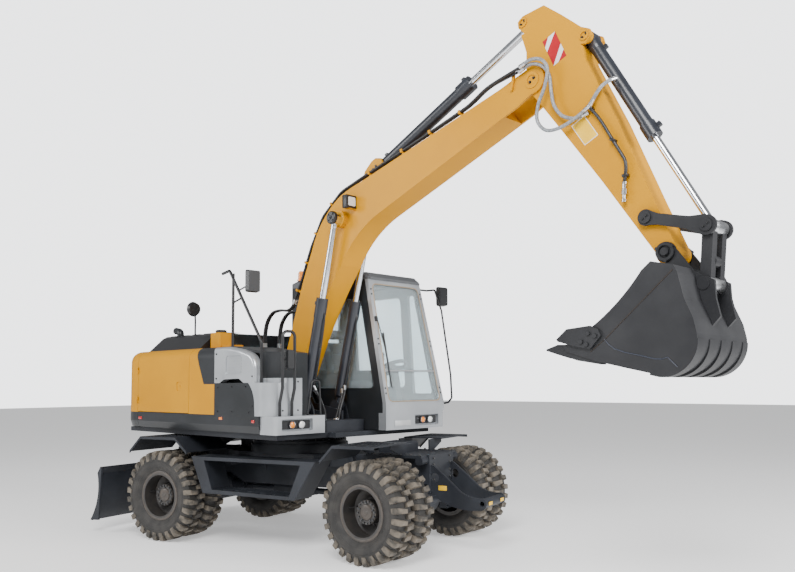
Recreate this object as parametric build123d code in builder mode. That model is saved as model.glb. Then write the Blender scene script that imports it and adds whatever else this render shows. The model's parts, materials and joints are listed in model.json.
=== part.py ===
from build123d import *
import math
import os

os.makedirs("parts", exist_ok=True)

# Wheeled excavator, millimetres, +Z up. The origin is on the ground under the slew axis.
# +X points forward along the upper structure and its boom, +Y to the machine's left.
# The undercarriage stands turned under the upper structure by CHASSIS_TURN.

# ---------------------------------------------------------------- driving sizes
CHASSIS_TURN = 14.0          # heading of the undercarriage, degrees about the slew axis
STEER_REST = -8.7            # front wheels at rest, degrees, negative to the right
FIT = 0.3                    # running gap at pins, bores and curved seats
GAP = 6.0                    # gap between pieces that move past each other

OVERALL_WIDTH = 2500
TYRE_DIAMETER = 1055
TYRE_WIDTH = 278
TWIN_PITCH = 330             # between the two tyres of a twin wheel
RIM_SEAT_RADIUS = 254
RIM_FLANGE_RADIUS = 286
RIM_WALL = 13
RIM_HALF_WIDTH = 98
HUB_RADIUS = 125
REAR_AXLE_X = -1161
FRONT_AXLE_X = 1711
AXLE_TUBE_RADIUS = 85
DIFFERENTIAL_RADIUS = 165

GIRDER_HALF = 300            # half width of the chassis girder
GIRDER_TOP = 1020
GIRDER_BELLY = 620
GIRDER_OVER_AXLE = 735
GIRDER_REAR_X = -1760
GIRDER_FRONT_X = 1930
PLATE = 30                   # heavy plate

RING_RADIUS = 640
RING_BOTTOM = 1120
DECK_BOTTOM = 1235
SKIRT_BOTTOM = 1302
DECK_TOP = 1490
SIDE_Y = 1240                # half width of the upper structure
TAIL_X = -2250               # rear of the counterweight
HOUSE_REAR_X = -1765         # seam between counterweight and doors
DOOR_HINGES = (1600, 1980)   # heights of the door hinges
LATCH = (-789, 1813)         # latch recess in the side doors
HOUSE_TOP = 2268
SHOULDER_Z = 2130            # where the side panels start to round over
SHOULDER_Y = 1100            # where they meet the flat top
PANEL = 40                   # thickness of a door or side panel

BOOM_Y = -170                # the boom plane stands right of the slew axis
BOOM_HALF = 155
ARM_HALF = 130
ARM_HUB_HALF = 98
BOOM_FOOT = (65, 1664)
BOOM_NOSE = (3726, 4644)
BOOM_CYLINDER_FOOT = (600, 1560)
BOOM_CYLINDER_EYE = (1135, 3708)
BOOM_CYLINDER_SPREAD = 262
ARM_CYLINDER_FOOT = (1590, 4240)
ARM_CYLINDER_EYE = (3622, 5237)
BUCKET_CYLINDER_FOOT = (4266, 4913)
BUCKET_PIN = (4967, 2876)
ROCKER_PIN = (4807, 3181)
LINK_PIN = (5304, 3051)
BUCKET_LINK_PIN = (5264, 2597)
BUCKET_HALF = 500
PIN_RADIUS = 35

WHEEL_Z = 527.5              # height of the axles in the drawings below
GROUND_RISE = TYRE_DIAMETER / 2 - WHEEL_Z    # lift that sets the tyres down on the ground
OUTER_TYRE_Y = (OVERALL_WIDTH - TYRE_WIDTH) / 2
KINGPIN_Y = OUTER_TYRE_Y - 371
turn = math.radians(CHASSIS_TURN)
FORWARD = Vector(math.cos(turn), math.sin(turn), 0)
SIDEWAYS = Vector(-math.sin(turn), math.cos(turn), 0)
UP = Vector(0, 0, 1)


# ---------------------------------------------------------------- drawing planes
def side(y):
    """Upright plane along the boom at a given y, drawn as (x, z), seen from the right."""
    return Plane(origin=(0, y, 0), x_dir=(1, 0, 0), z_dir=(0, -1, 0))


def cross(x):
    """Upright plane across the upper structure, drawn as (y, z)."""
    return Plane(origin=(x, 0, 0), x_dir=(0, 1, 0), z_dir=(1, 0, 0))


def deck(z):
    return Plane.XY.offset(z)


def chassis_side(y):
    """Upright plane along the undercarriage, drawn as (x, z)."""
    return Plane(origin=SIDEWAYS * y, x_dir=FORWARD, z_dir=-SIDEWAYS)


def chassis_cross(x):
    return Plane(origin=FORWARD * x, x_dir=SIDEWAYS, z_dir=FORWARD)


def chassis_deck(z):
    return Plane(origin=UP * z, x_dir=FORWARD, z_dir=UP)


def axle_section(centre, outward):
    """Plane through a wheel's axle: u runs outward along the axle, v is up."""
    return Plane(origin=centre, x_dir=outward, z_dir=outward.cross(UP))


def on_circle(centre, radius, degrees):
    angle = math.radians(degrees)
    return (centre[0] + radius * math.cos(angle), centre[1] + radius * math.sin(angle))


def save(piece, name):
    placed = piece.part.moved(Location((0, 0, GROUND_RISE)))
    placed.label = name
    export_step(placed, f"parts/{name}.step")


# ---------------------------------------------------------------- wheels
def wheel(name, axle_x, hand, steer):
    """One twin wheel: two tyres in one piece list, two rims and the planetary hub in another."""
    angle = math.radians(steer)
    outward = (SIDEWAYS * math.cos(angle) - FORWARD * math.sin(angle)) * hand
    pivot = FORWARD * axle_x + SIDEWAYS * (hand * KINGPIN_Y) + UP * WHEEL_Z
    centre = pivot + outward * (OUTER_TYRE_Y - KINGPIN_Y)
    section = axle_section(centre, outward)
    axle = Axis(centre, outward)
    bead = RIM_SEAT_RADIUS + FIT
    tread = TYRE_DIAMETER / 2
    with BuildPart() as tyres:
        for centre_u in (0, -TWIN_PITCH):
            left = centre_u - TYRE_WIDTH / 2
            right = centre_u + TYRE_WIDTH / 2
            with BuildSketch(section):
                with BuildLine():
                    Polyline((centre_u - 84, bead + 34), (centre_u - 84, bead), (centre_u + 84, bead),
                             (centre_u + 84, bead + 34))
                    ThreePointArc((centre_u + 84, bead + 34), (right, tread - 140), (centre_u + 112, tread - 30))
                    Polyline((centre_u + 112, tread - 30), (centre_u + 92, tread), (centre_u - 92, tread),
                             (centre_u - 112, tread - 30))
                    ThreePointArc((centre_u - 112, tread - 30), (left, tread - 140), (centre_u - 84, bead + 34))
                make_face()
            revolve(axis=axle)
    save(tyres, f"tyres_{name}")
    inner = RIM_SEAT_RADIUS - RIM_WALL
    lip = RIM_HALF_WIDTH
    mid = -TWIN_PITCH / 2
    with BuildPart() as rims:
        with BuildSketch(section):
            for flip, start in ((1, 0), (-1, -TWIN_PITCH)):
                with BuildLine():
                    Polyline((start - lip, inner), (start + lip, inner), (start + lip, RIM_FLANGE_RADIUS),
                             (start + lip - 12, RIM_FLANGE_RADIUS), (start + lip - 12, RIM_SEAT_RADIUS),
                             (start - lip + 12, RIM_SEAT_RADIUS), (start - lip + 12, RIM_FLANGE_RADIUS),
                             (start - lip, RIM_FLANGE_RADIUS), close=True)
                make_face()
                with BuildLine():
                    Polyline((start - flip * lip, inner + 1), (start - flip * (lip - 16), inner + 1),
                             (mid + flip * 16, 150), (mid, 150), (mid, 175), close=True)
                make_face()
            with BuildLine():
                Polyline((mid - 130, 0), (mid - 130, HUB_RADIUS), (mid - 20, HUB_RADIUS), (mid - 20, 175),
                         (mid + 20, 175), (mid + 20, HUB_RADIUS), (mid + 165, HUB_RADIUS),
                         (mid + 175, HUB_RADIUS - 10), (mid + 175, 0), close=True)
            make_face()
        revolve(axis=axle)
    save(rims, f"rims_{name}")


for wheel_name, wheel_x, wheel_hand, wheel_steer in (
    ("front_right", FRONT_AXLE_X, -1, STEER_REST),
    ("front_left", FRONT_AXLE_X, 1, STEER_REST),
    ("rear_right", REAR_AXLE_X, -1, 0),
    ("rear_left", REAR_AXLE_X, 1, 0),
):
    wheel(wheel_name, wheel_x, wheel_hand, wheel_steer)

HUB_INNER_Y = OUTER_TYRE_Y - TWIN_PITCH / 2 - 130      # inner end of the hubs

# ---------------------------------------------------------------- axles and knuckles
AXLE_PINION = 330            # reach of the pinion housing towards the gearbox
YOKE_Z = 150                 # yoke arms above and below the axle line
YOKE_PLATE = 26
YOKE_HALF = 55
STEER_ARM = 150              # steering arm, ahead of the kingpin
STEER_ROD_RADIUS = 17
STEER_BARREL_RADIUS = 40
YOKE_ROOT_Y = KINGPIN_Y - 180
front_axis = Axis(FORWARD * FRONT_AXLE_X + UP * WHEEL_Z, SIDEWAYS)

with BuildPart() as rear_axle:
    with BuildSketch(axle_section(FORWARD * REAR_AXLE_X + UP * WHEEL_Z, SIDEWAYS)):
        with BuildLine():
            Polyline((0, 0), (HUB_INNER_Y - FIT, 0), (HUB_INNER_Y - FIT, 110), (HUB_INNER_Y - 60, 110),
                     (HUB_INNER_Y - 110, AXLE_TUBE_RADIUS), (230, AXLE_TUBE_RADIUS),
                     (110, DIFFERENTIAL_RADIUS), (0, DIFFERENTIAL_RADIUS), close=True)
        make_face()
        mirror(about=Plane.YZ)
    revolve(axis=Axis(FORWARD * REAR_AXLE_X + UP * WHEEL_Z, SIDEWAYS))
    with BuildSketch(chassis_cross(REAR_AXLE_X)):
        with Locations((0, WHEEL_Z)):
            Circle(95)
    extrude(amount=AXLE_PINION)
    with BuildSketch(chassis_deck(WHEEL_Z)):
        with Locations((REAR_AXLE_X, 240), (REAR_AXLE_X, -240)):
            Rectangle(150, 100)
    extrude(amount=GIRDER_OVER_AXLE - WHEEL_Z)
save(rear_axle, "rear_axle")

with BuildPart() as front_axle:
    with BuildSketch(axle_section(FORWARD * FRONT_AXLE_X + UP * WHEEL_Z, SIDEWAYS)):
        with BuildLine():
            Polyline((0, 0), (YOKE_ROOT_Y, 0), (YOKE_ROOT_Y, 50), (YOKE_ROOT_Y - 90, 50),
                     (YOKE_ROOT_Y - 120, AXLE_TUBE_RADIUS - 6), (230, AXLE_TUBE_RADIUS),
                     (110, DIFFERENTIAL_RADIUS), (0, DIFFERENTIAL_RADIUS), close=True)
        make_face()
        mirror(about=Plane.YZ)
    revolve(axis=front_axis)
    with BuildSketch(chassis_cross(FRONT_AXLE_X)):
        with Locations((0, WHEEL_Z)):
            Circle(95)
    extrude(amount=-AXLE_PINION)
    for hand in (1, -1):
        for level in (1, -1):
            low = WHEEL_Z + level * YOKE_Z - (YOKE_PLATE if level < 0 else 0)
            with BuildSketch(chassis_deck(low)):
                with Locations((FRONT_AXLE_X, hand * (KINGPIN_Y + YOKE_ROOT_Y - 30) / 2)):
                    Rectangle(2 * YOKE_HALF, KINGPIN_Y - YOKE_ROOT_Y + 30)
                with Locations((FRONT_AXLE_X, hand * KINGPIN_Y)):
                    Circle(YOKE_HALF)
            extrude(amount=YOKE_PLATE)
        with BuildSketch(chassis_deck(WHEEL_Z - YOKE_Z - YOKE_PLATE)):
            with Locations((FRONT_AXLE_X, hand * (YOKE_ROOT_Y - 15))):
                Rectangle(90, 30)
        extrude(amount=2 * (YOKE_Z + YOKE_PLATE))
    with BuildSketch(chassis_deck(WHEEL_Z)):
        with Locations((FRONT_AXLE_X, 0)):
            Rectangle(180, 160)
    extrude(amount=GIRDER_OVER_AXLE - WHEEL_Z)
    # steering cylinder, bolted to the front of the housing
    with BuildSketch(chassis_side(0)):
        with Locations((FRONT_AXLE_X + STEER_ARM, WHEEL_Z)):
            Circle(STEER_BARREL_RADIUS)
    extrude(amount=250, both=True)
    with BuildSketch(chassis_side(0)):
        with Locations((FRONT_AXLE_X + STEER_ARM / 2, WHEEL_Z)):
            Rectangle(STEER_ARM, 60)
    extrude(amount=90, both=True)
    with BuildSketch(chassis_side(0)):
        with Locations((FRONT_AXLE_X + STEER_ARM, WHEEL_Z)):
            Circle(STEER_ROD_RADIUS + FIT)
    extrude(amount=300, both=True, mode=Mode.SUBTRACT)
save(front_axle, "front_axle")

rest_shift = STEER_ARM * math.sin(math.radians(-STEER_REST))
TONGUE_Y = KINGPIN_Y - 130
with BuildPart() as steering_rod:
    with BuildSketch(chassis_side(-rest_shift)):
        with Locations((FRONT_AXLE_X + STEER_ARM, WHEEL_Z)):
            Circle(STEER_ROD_RADIUS)
    extrude(amount=TONGUE_Y - 60, both=True)
    for hand in (1, -1):
        for level in (18, -34):
            with BuildSketch(chassis_deck(WHEEL_Z + level)):
                with Locations((FRONT_AXLE_X + STEER_ARM, -rest_shift + hand * (TONGUE_Y - 20))):
                    SlotOverall(140, 54, rotation=90)
            extrude(amount=16)
        with BuildSketch(chassis_deck(WHEEL_Z - 34)):
            with Locations((FRONT_AXLE_X + STEER_ARM, -rest_shift + hand * (TONGUE_Y - 75))):
                Rectangle(44, 24)
        extrude(amount=68)
save(steering_rod, "steering_rod")

for name, hand in (("right", -1), ("left", 1)):
    angle = math.radians(STEER_REST)
    ahead = FORWARD * math.cos(angle) + SIDEWAYS * math.sin(angle)
    outward = (SIDEWAYS * math.cos(angle) - FORWARD * math.sin(angle)) * hand
    pivot = FORWARD * FRONT_AXLE_X + SIDEWAYS * (hand * KINGPIN_Y) + UP * WHEEL_Z
    with BuildPart() as knuckle:
        with BuildSketch(Plane(origin=pivot - UP * (YOKE_Z - FIT), x_dir=ahead, z_dir=UP)):
            Circle(YOKE_HALF)
        extrude(amount=2 * YOKE_Z - 2 * FIT)
        with BuildSketch(Plane(origin=pivot, x_dir=ahead, z_dir=outward)):
            Circle(105)
        extrude(amount=HUB_INNER_Y - KINGPIN_Y - FIT)
        with BuildSketch(Plane(origin=pivot - UP * 14, x_dir=ahead, z_dir=UP)):
            with BuildLine():
                Polyline((-40, -hand * 45), (40, -hand * 45), (STEER_ARM + 22, -hand * 150),
                         (STEER_ARM + 22, -hand * 108), (60, hand * 30), (-40, hand * 30), close=True)
            make_face()
        extrude(amount=28)
    save(knuckle, f"knuckle_{name}")

# ---------------------------------------------------------------- drive line
GEARBOX_X = -60
GEARBOX_HALF_LENGTH = 210
SHAFT_RADIUS = 38
with BuildPart() as drive_line:
    with BuildSketch(chassis_cross(GEARBOX_X - GEARBOX_HALF_LENGTH)):
        with Locations((0, WHEEL_Z + 12)):
            RectangleRounded(360, 160, 50)
    extrude(amount=2 * GEARBOX_HALF_LENGTH)
    for start, end in (
        (GEARBOX_X + GEARBOX_HALF_LENGTH + FIT, FRONT_AXLE_X - AXLE_PINION - FIT),
        (REAR_AXLE_X + AXLE_PINION + FIT, GEARBOX_X - GEARBOX_HALF_LENGTH - FIT),
    ):
        with BuildSketch(axle_section(FORWARD * start + UP * WHEEL_Z, FORWARD)):
            with BuildLine():
                Polyline((0, 0), (0, 66), (16, 66), (16, 46), (110, 46), (110, SHAFT_RADIUS),
                         (end - start - 110, SHAFT_RADIUS), (end - start - 110, 46),
                         (end - start - 16, 46), (end - start - 16, 66), (end - start, 66),
                         (end - start, 0), close=True)
            make_face()
        revolve(axis=Axis(FORWARD * start + UP * WHEEL_Z, FORWARD))
save(drive_line, "drive_line")

# ---------------------------------------------------------------- chassis
FRONT_PLATE_HALF = 436
PEDESTAL_RADIUS = 600
BLADE_PIVOT = (-1600, 640)
BLADE_CYLINDER_Y = 190
BLADE_CYLINDER_FOOT = (-1830, 900)
BLADE_CYLINDER_EYE = (-2070, 400)
BLADE_ARM_Y = 360
with BuildPart() as chassis_frame:
    with BuildSketch(chassis_side(0)):
        with BuildLine():
            Polyline((GIRDER_REAR_X, GIRDER_TOP), (GIRDER_FRONT_X, GIRDER_TOP), (GIRDER_FRONT_X, GIRDER_OVER_AXLE),
                     (1400, GIRDER_OVER_AXLE), (1180, GIRDER_BELLY), (-640, GIRDER_BELLY),
                     (-860, GIRDER_OVER_AXLE), (-1420, GIRDER_OVER_AXLE), (-1500, 560),
                     (GIRDER_REAR_X, 560), close=True)
        make_face()
    extrude(amount=GIRDER_HALF, both=True)
    with BuildSketch(chassis_deck(880)):
        with BuildLine():
            Polyline((-900, -GIRDER_HALF), (-560, -500), (560, -500), (900, -GIRDER_HALF),
                     (900, GIRDER_HALF), (560, 500), (-560, 500), (-900, GIRDER_HALF), close=True)
        make_face()
    extrude(amount=GIRDER_TOP - 880)
    with BuildSketch(chassis_deck(GIRDER_TOP)):
        Circle(PEDESTAL_RADIUS)
    extrude(amount=RING_BOTTOM - GIRDER_TOP)
    with BuildSketch(chassis_deck(GIRDER_TOP)):
        with Locations(((1230 + GIRDER_FRONT_X) / 2, 0)):
            Rectangle(GIRDER_FRONT_X - 1230, 2 * FRONT_PLATE_HALF)
    extrude(amount=PLATE)
    with BuildSketch(chassis_cross(GIRDER_FRONT_X)):
        with Locations((0, (640 + 1050) / 2)):
            Rectangle(2 * GIRDER_HALF, 1050 - 640)
    extrude(amount=PLATE)
    with BuildSketch(chassis_side(0)):
        with Locations((GIRDER_FRONT_X - 25, 995)):
            Circle(45)
    extrude(amount=FRONT_PLATE_HALF + 10, both=True)
    with BuildSketch(chassis_side(0)):
        with BuildLine():
            Polyline((1260, GIRDER_TOP + PLATE), (1560, GIRDER_TOP + PLATE), (1560, 1140), (1530, 1165),
                     (1260, 1165), close=True)
        make_face()
    extrude(amount=200, both=True)
    for x in (-1300, -300, 300, 1000):
        with BuildSketch(chassis_cross(x)):
            with BuildLine():
                Polyline((-GIRDER_HALF - 90, GIRDER_TOP), (-GIRDER_HALF, GIRDER_OVER_AXLE + 40),
                         (GIRDER_HALF, GIRDER_OVER_AXLE + 40), (GIRDER_HALF + 90, GIRDER_TOP), close=True)
            make_face()
        extrude(amount=16)
    # ears that carry the blade arms
    for hand in (1, -1):
        with BuildSketch(chassis_side(hand * BLADE_ARM_Y)):
            with Locations(BLADE_PIVOT):
                Circle(PIN_RADIUS)
        extrude(amount=BLADE_ARM_Y - GIRDER_HALF + 34, both=True)
        for ear in (-1, 1):
            with BuildSketch(chassis_side(hand * BLADE_CYLINDER_Y + ear * 52)):
                with BuildLine():
                    Polyline((GIRDER_REAR_X, 820), (GIRDER_REAR_X, 980), (-1800, 975), (-1880, 920), (-1870, 870),
                             (-1800, 830), close=True)
                make_face()
            extrude(amount=10, both=True)
save(chassis_frame, "chassis_frame")

with BuildPart() as slew_ring:
    with BuildSketch(deck(RING_BOTTOM + 0)):
        Circle(RING_RADIUS - 60)
        Circle(RING_RADIUS - 190, mode=Mode.SUBTRACT)
    extrude(amount=40)
    with BuildSketch(deck(RING_BOTTOM + 40)):
        Circle(RING_RADIUS - 110)
        Circle(RING_RADIUS - 190, mode=Mode.SUBTRACT)
    extrude(amount=DECK_BOTTOM - RING_BOTTOM - 40 - FIT)
save(slew_ring, "slew_ring")

# front bracket: two curved ears and the tube across their tips
EAR_Y = 251
EAR_THICK = 30
TOW_TUBE_RADIUS = 50
TOW_BORE_RADIUS = 26
with BuildPart() as front_bracket:
    for hand in (1, -1):
        with BuildSketch(chassis_side(hand * EAR_Y)):
            with BuildLine():
                Polyline((GIRDER_FRONT_X + PLATE, 940), (1990, 935))
                ThreePointArc((1990, 935), (2150, 810), (2290, 690))
                ThreePointArc((2290, 690), (2410, 630), (2560, 620))
                ThreePointArc((2560, 620), (2612, 556), (2560, 496))
                ThreePointArc((2560, 496), (2300, 490), (2060, 570))
                Polyline((2060, 570), (GIRDER_FRONT_X + PLATE, 650), (GIRDER_FRONT_X + PLATE, 940))
            make_face()
            with Locations((2010, 808)):
                Circle(48, mode=Mode.SUBTRACT)
        extrude(amount=EAR_THICK / 2, both=True)
    with BuildSketch(chassis_side(0)):
        with Locations((2560, 560)):
            Circle(TOW_TUBE_RADIUS)
    extrude(amount=EAR_Y, both=True)
    with BuildSketch(chassis_side(0)):
        with Locations((2560, 560)):
            Circle(TOW_BORE_RADIUS)
    extrude(amount=EAR_Y + EAR_THICK, both=True, mode=Mode.SUBTRACT)
save(front_bracket, "front_bracket")

# fenders: bent plates over the wheels, on arms from the chassis
FENDER_PLATE = 14
FENDER_Y = OUTER_TYRE_Y - 321
FENDER_LIP = 32
with BuildPart() as fenders:
    for points, bracket, bracket_at in (
        (((1089, 1027), (1250, 1190), (1760, 1190)),
         ((300, GIRDER_TOP + PLATE), (425, GIRDER_TOP + PLATE), (620, 1130), (620, 1176), (300, 1176)), (1240, 1640)),
        (((-1740, 1035), (-1560, 1210), (-990, 1210), (-800, 1050)),
         ((180, GIRDER_TOP), (298, GIRDER_TOP), (620, 1130), (620, 1196), (180, 1196)), (-1480, -1100)),
    ):
        for hand in (1, -1):
            for middle, half, drop in ((FENDER_Y, 360, FENDER_PLATE), (FENDER_Y + 354, 6, FENDER_LIP)):
                with BuildSketch(chassis_side(hand * middle)):
                    with BuildLine():
                        Polyline(*points, *[(x, z - drop) for x, z in reversed(points)], close=True)
                    make_face()
                extrude(amount=half, both=True)
            for x in bracket_at:
                with BuildSketch(chassis_cross(x)):
                    with BuildLine():
                        Polyline(*[(hand * y, z) for y, z in bracket], close=True)
                    make_face()
                extrude(amount=16)
save(fenders, "fenders")

# side steps: a box frame with an open window on each side of the wheelbase
STEP_OUTER_Y = 1170
STEP_INNER_Y = 850
with BuildPart() as side_steps:
    for hand in (-1, 1):
        with BuildSketch(chassis_side(hand * (STEP_OUTER_Y + STEP_INNER_Y) / 2)):
            with BuildLine():
                Polyline((-698, 1005), (-516, 595), (779, 592), (1048, 1010), close=True)
            make_face()
            with BuildLine():
                Polyline((-505, 966), (-380, 640), (712, 629), (858, 968), close=True)
            make_face(mode=Mode.SUBTRACT)
        extrude(amount=(STEP_OUTER_Y - STEP_INNER_Y) / 2, both=True)
        with BuildSketch(chassis_deck(890)):
            with Locations((-430, hand * (STEP_INNER_Y + 500) / 2)):
                Rectangle(120, STEP_INNER_Y - 500)
            with Locations((700, hand * (STEP_INNER_Y + 455) / 2)):
                Rectangle(120, STEP_INNER_Y - 455)
        extrude(amount=90)
        with BuildSketch(chassis_deck(640)):
            for x in (-270, -90, 90, 270, 450, 630):
                with Locations((x, hand * (STEP_OUTER_Y - 80))):
                    Rectangle(90, 60)
        extrude(amount=-60, mode=Mode.SUBTRACT)
save(side_steps, "side_steps")


# ---------------------------------------------------------------- cylinders
def ram(name, foot, eye, bore_side, spots, sizes):
    """Barrels in one part and rods in another, one of each at every spot along bore_side."""
    barrel_radius, head_radius, rod_radius, eye_radius, foot_half, eye_half = sizes[:6]
    head_from, gland, reach, inside, port_side = sizes[6:]
    run = (eye - foot).normalized()
    length = (eye - foot).length
    neck = min(rod_radius * 1.1, eye_half - 2)
    with BuildPart() as barrels:
        for spot in spots:
            start = foot + bore_side * spot
            with BuildSketch(axle_section(start, run)):
                with BuildLine():
                    Polyline((0, 0), (0, foot_half - 2), (eye_radius + 40, foot_half - 2),
                             (eye_radius + 70, barrel_radius), (head_from, barrel_radius),
                             (head_from, head_radius), (gland, head_radius), (gland, rod_radius + FIT),
                             (gland - reach - 20, rod_radius + FIT), (gland - reach - 20, 0), close=True)
                make_face()
            revolve(axis=Axis(start, run))
            with BuildSketch(Plane(origin=start - bore_side * foot_half, x_dir=run, z_dir=bore_side)):
                Circle(eye_radius)
            extrude(amount=2 * foot_half)
            port = start + run * (gland - 90)
            with BuildSketch(Plane(origin=port, x_dir=bore_side, z_dir=run)):
                with Locations((0, port_side * (head_radius + 6))):
                    Rectangle(40, 50)
            extrude(amount=40)
            with BuildSketch(Plane(origin=start + run * (eye_radius + 80), x_dir=bore_side, z_dir=run)):
                with Locations((0, port_side * (barrel_radius + 9))):
                    Rectangle(36, 40)
            extrude(amount=36)
    save(barrels, f"{name}_barrel")
    with BuildPart() as rods:
        for spot in spots:
            start = foot + bore_side * spot
            with BuildSketch(axle_section(start, run)):
                with BuildLine():
                    Polyline((gland - inside, 0), (gland - inside, rod_radius), (length - eye_radius - 30, rod_radius),
                             (length - eye_radius - 20, neck), (length - 8, neck),
                             (length - 8, 0), close=True)
                make_face()
            revolve(axis=Axis(start, run))
            with BuildSketch(Plane(origin=start + run * length - bore_side * eye_half, x_dir=run,
                                   z_dir=bore_side)):
                Circle(eye_radius)
            extrude(amount=2 * eye_half)
    save(rods, f"{name}_rod")


# ---------------------------------------------------------------- dozer blade
BLADE_HALF = 1220
with BuildPart() as dozer_blade:
    with BuildSketch(chassis_side(0)):
        with BuildLine():
            Polyline((-2330, 162), (-2302, 162))
            ThreePointArc((-2302, 162), (-2180, 460), (-2194, 741))
            Polyline((-2194, 741), (-2221, 741))
            ThreePointArc((-2221, 741), (-2207, 460), (-2330, 162))
        make_face()
    extrude(amount=BLADE_HALF, both=True)
    with BuildSketch(chassis_side(0)):
        with BuildLine():
            Polyline((-2225, 735), (-2190, 735), (-2158, 808), (-2171, 820), close=True)
        make_face()
        with BuildLine():
            Polyline((-2345, 150), (-2330, 150), (-2262, 300), (-2276, 306), close=True)
        make_face()
    extrude(amount=BLADE_HALF - 30, both=True)
    for hand in (1, -1):
        with BuildSketch(chassis_side(hand * (BLADE_HALF - 12))):
            with BuildLine():
                Polyline((-2221, 741), (-2173, 820), (-2150, 800), (-2187, 167), (-2310, 162))
                ThreePointArc((-2310, 162), (-2200, 460), (-2221, 741))
            make_face()
        extrude(amount=12, both=True)
        with BuildSketch(chassis_side(hand * BLADE_ARM_Y)):
            with BuildLine():
                Polyline((-1570, 700), (-1640, 700), (-1900, 560), (-2180, 620), (-2180, 330), (-1900, 400),
                         (-1640, 570), (-1570, 570), close=True)
            make_face()
            with Locations(BLADE_PIVOT):
                Circle(72)
                Circle(PIN_RADIUS + FIT, mode=Mode.SUBTRACT)
        extrude(amount=32, both=True)
        for ear in (-1, 1):
            with BuildSketch(chassis_side(hand * BLADE_CYLINDER_Y + ear * 52)):
                with BuildLine():
                    Polyline((-2178, 330), (-2178, 480), (-2060, 460), (-2010, 400), (-2060, 345), close=True)
                make_face()
            extrude(amount=10, both=True)
save(dozer_blade, "dozer_blade")

foot = FORWARD * BLADE_CYLINDER_FOOT[0] + UP * BLADE_CYLINDER_FOOT[1]
eye = FORWARD * BLADE_CYLINDER_EYE[0] + UP * BLADE_CYLINDER_EYE[1]
ram("blade_cylinder", foot, eye, SIDEWAYS, (BLADE_CYLINDER_Y, -BLADE_CYLINDER_Y),
    (41, 50, 25, 44, 41.7, 41.7, 330, 360, 205, 130, -1))

# ---------------------------------------------------------------- platform
FOOT_PLATE = 30
BRACKET_EYE_HALF = 40
BRACKET_PLATE = 20
with BuildPart() as platform_frame:
    with BuildSketch(deck(DECK_BOTTOM)):
        with BuildLine():
            Polyline((-2100, -1150), (1000, -1150), (1000, -420), (1120, -420), (1120, 1150),
                     (-2100, 1150), close=True)
        make_face()
    extrude(amount=SKIRT_BOTTOM - 12 - DECK_BOTTOM)
    with BuildSketch(deck(SKIRT_BOTTOM - 12)):
        with Locations(((-1700 + 980) / 2, -140)):
            Rectangle(980 + 1700, 590)
    extrude(amount=1420 - SKIRT_BOTTOM + 12)
    for inner in (BOOM_Y + BOOM_HALF + FIT, BOOM_Y - BOOM_HALF - FIT - FOOT_PLATE):
        with BuildSketch(side(inner)):
            with BuildLine():
                Polyline((-320, 1420), (-320, 1560), (-40, 1820), (150, 1810), (290, 1600), (780, 1520),
                         (780, 1420), close=True)
            make_face()
        extrude(amount=-FOOT_PLATE)
    for hand in (1, -1):
        middle = BOOM_Y + hand * BOOM_CYLINDER_SPREAD
        for near in (middle + BRACKET_EYE_HALF + FIT, middle - BRACKET_EYE_HALF - FIT - BRACKET_PLATE):
            with BuildSketch(side(near)):
                with BuildLine():
                    Polyline((470, 1420), (520, 1570), (560, 1640), (640, 1640), (690, 1570), (740, 1420),
                             close=True)
                make_face()
            extrude(amount=-BRACKET_PLATE)
    with BuildSketch(deck(SKIRT_BOTTOM - 12)):
        with Locations((-300, 300), (-300, 1050), (1000, 300), (1000, 1050)):
            Circle(60)
    extrude(amount=5)
save(platform_frame, "platform_frame")

TAIL_CORNER_X = -1850
TAIL_SIDE_Y = SIDE_Y + TAIL_X - TAIL_CORNER_X
TAIL_BOW = 30
SKIRT_CREASE = 1380
SKIRT_TUCK = 25              # how far the skirt leans in below its crease
SKIRT_LEDGE = 19             # how far the skirt stands on the deck plate


def tail_points(inset):
    """The tail's outline from above, moved inwards: side, middle of the corner, back and bow."""
    radius = SIDE_Y - TAIL_SIDE_Y - inset
    slant = radius * math.sqrt(0.5)
    return (SIDE_Y - inset, (TAIL_CORNER_X - slant, TAIL_SIDE_Y + slant), TAIL_X + inset, TAIL_X - TAIL_BOW + inset)


with BuildPart() as skirts:
    for hand, front in ((-1, 800), (1, -400)):
        with BuildSketch(cross(HOUSE_REAR_X)):
            with BuildLine():
                Polyline((hand * (SIDE_Y - SKIRT_TUCK), SKIRT_BOTTOM), (hand * SIDE_Y, SKIRT_CREASE),
                         (hand * SIDE_Y, DECK_TOP), (hand * (1150 - SKIRT_LEDGE), DECK_TOP),
                         (hand * (1150 - SKIRT_LEDGE), SKIRT_BOTTOM - 12), (hand * 1150, SKIRT_BOTTOM - 12),
                         (hand * 1150, SKIRT_BOTTOM), close=True)
            make_face()
        extrude(amount=front - HOUSE_REAR_X)
    for level, inset in ((DECK_TOP, 0), (SKIRT_CREASE, 0), (SKIRT_BOTTOM, SKIRT_TUCK)):
        side_at, corner, back, bow = tail_points(inset)
        with BuildSketch(deck(level)):
            with BuildLine():
                Polyline((TAIL_CORNER_X, side_at), (HOUSE_REAR_X - 4, side_at), (HOUSE_REAR_X - 4, -side_at),
                         (TAIL_CORNER_X, -side_at))
                ThreePointArc((TAIL_CORNER_X, -side_at), (corner[0], -corner[1]), (back, -TAIL_SIDE_Y))
                ThreePointArc((back, -TAIL_SIDE_Y), (bow, 0), (back, TAIL_SIDE_Y))
                ThreePointArc((back, TAIL_SIDE_Y), corner, (TAIL_CORNER_X, side_at))
            make_face()
    loft(ruled=True)
    with BuildSketch(deck(SKIRT_BOTTOM - 12)):
        with Locations((-1940, 0)):
            Rectangle(240, 1800)
    extrude(amount=12)
save(skirts, "skirts")

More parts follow.
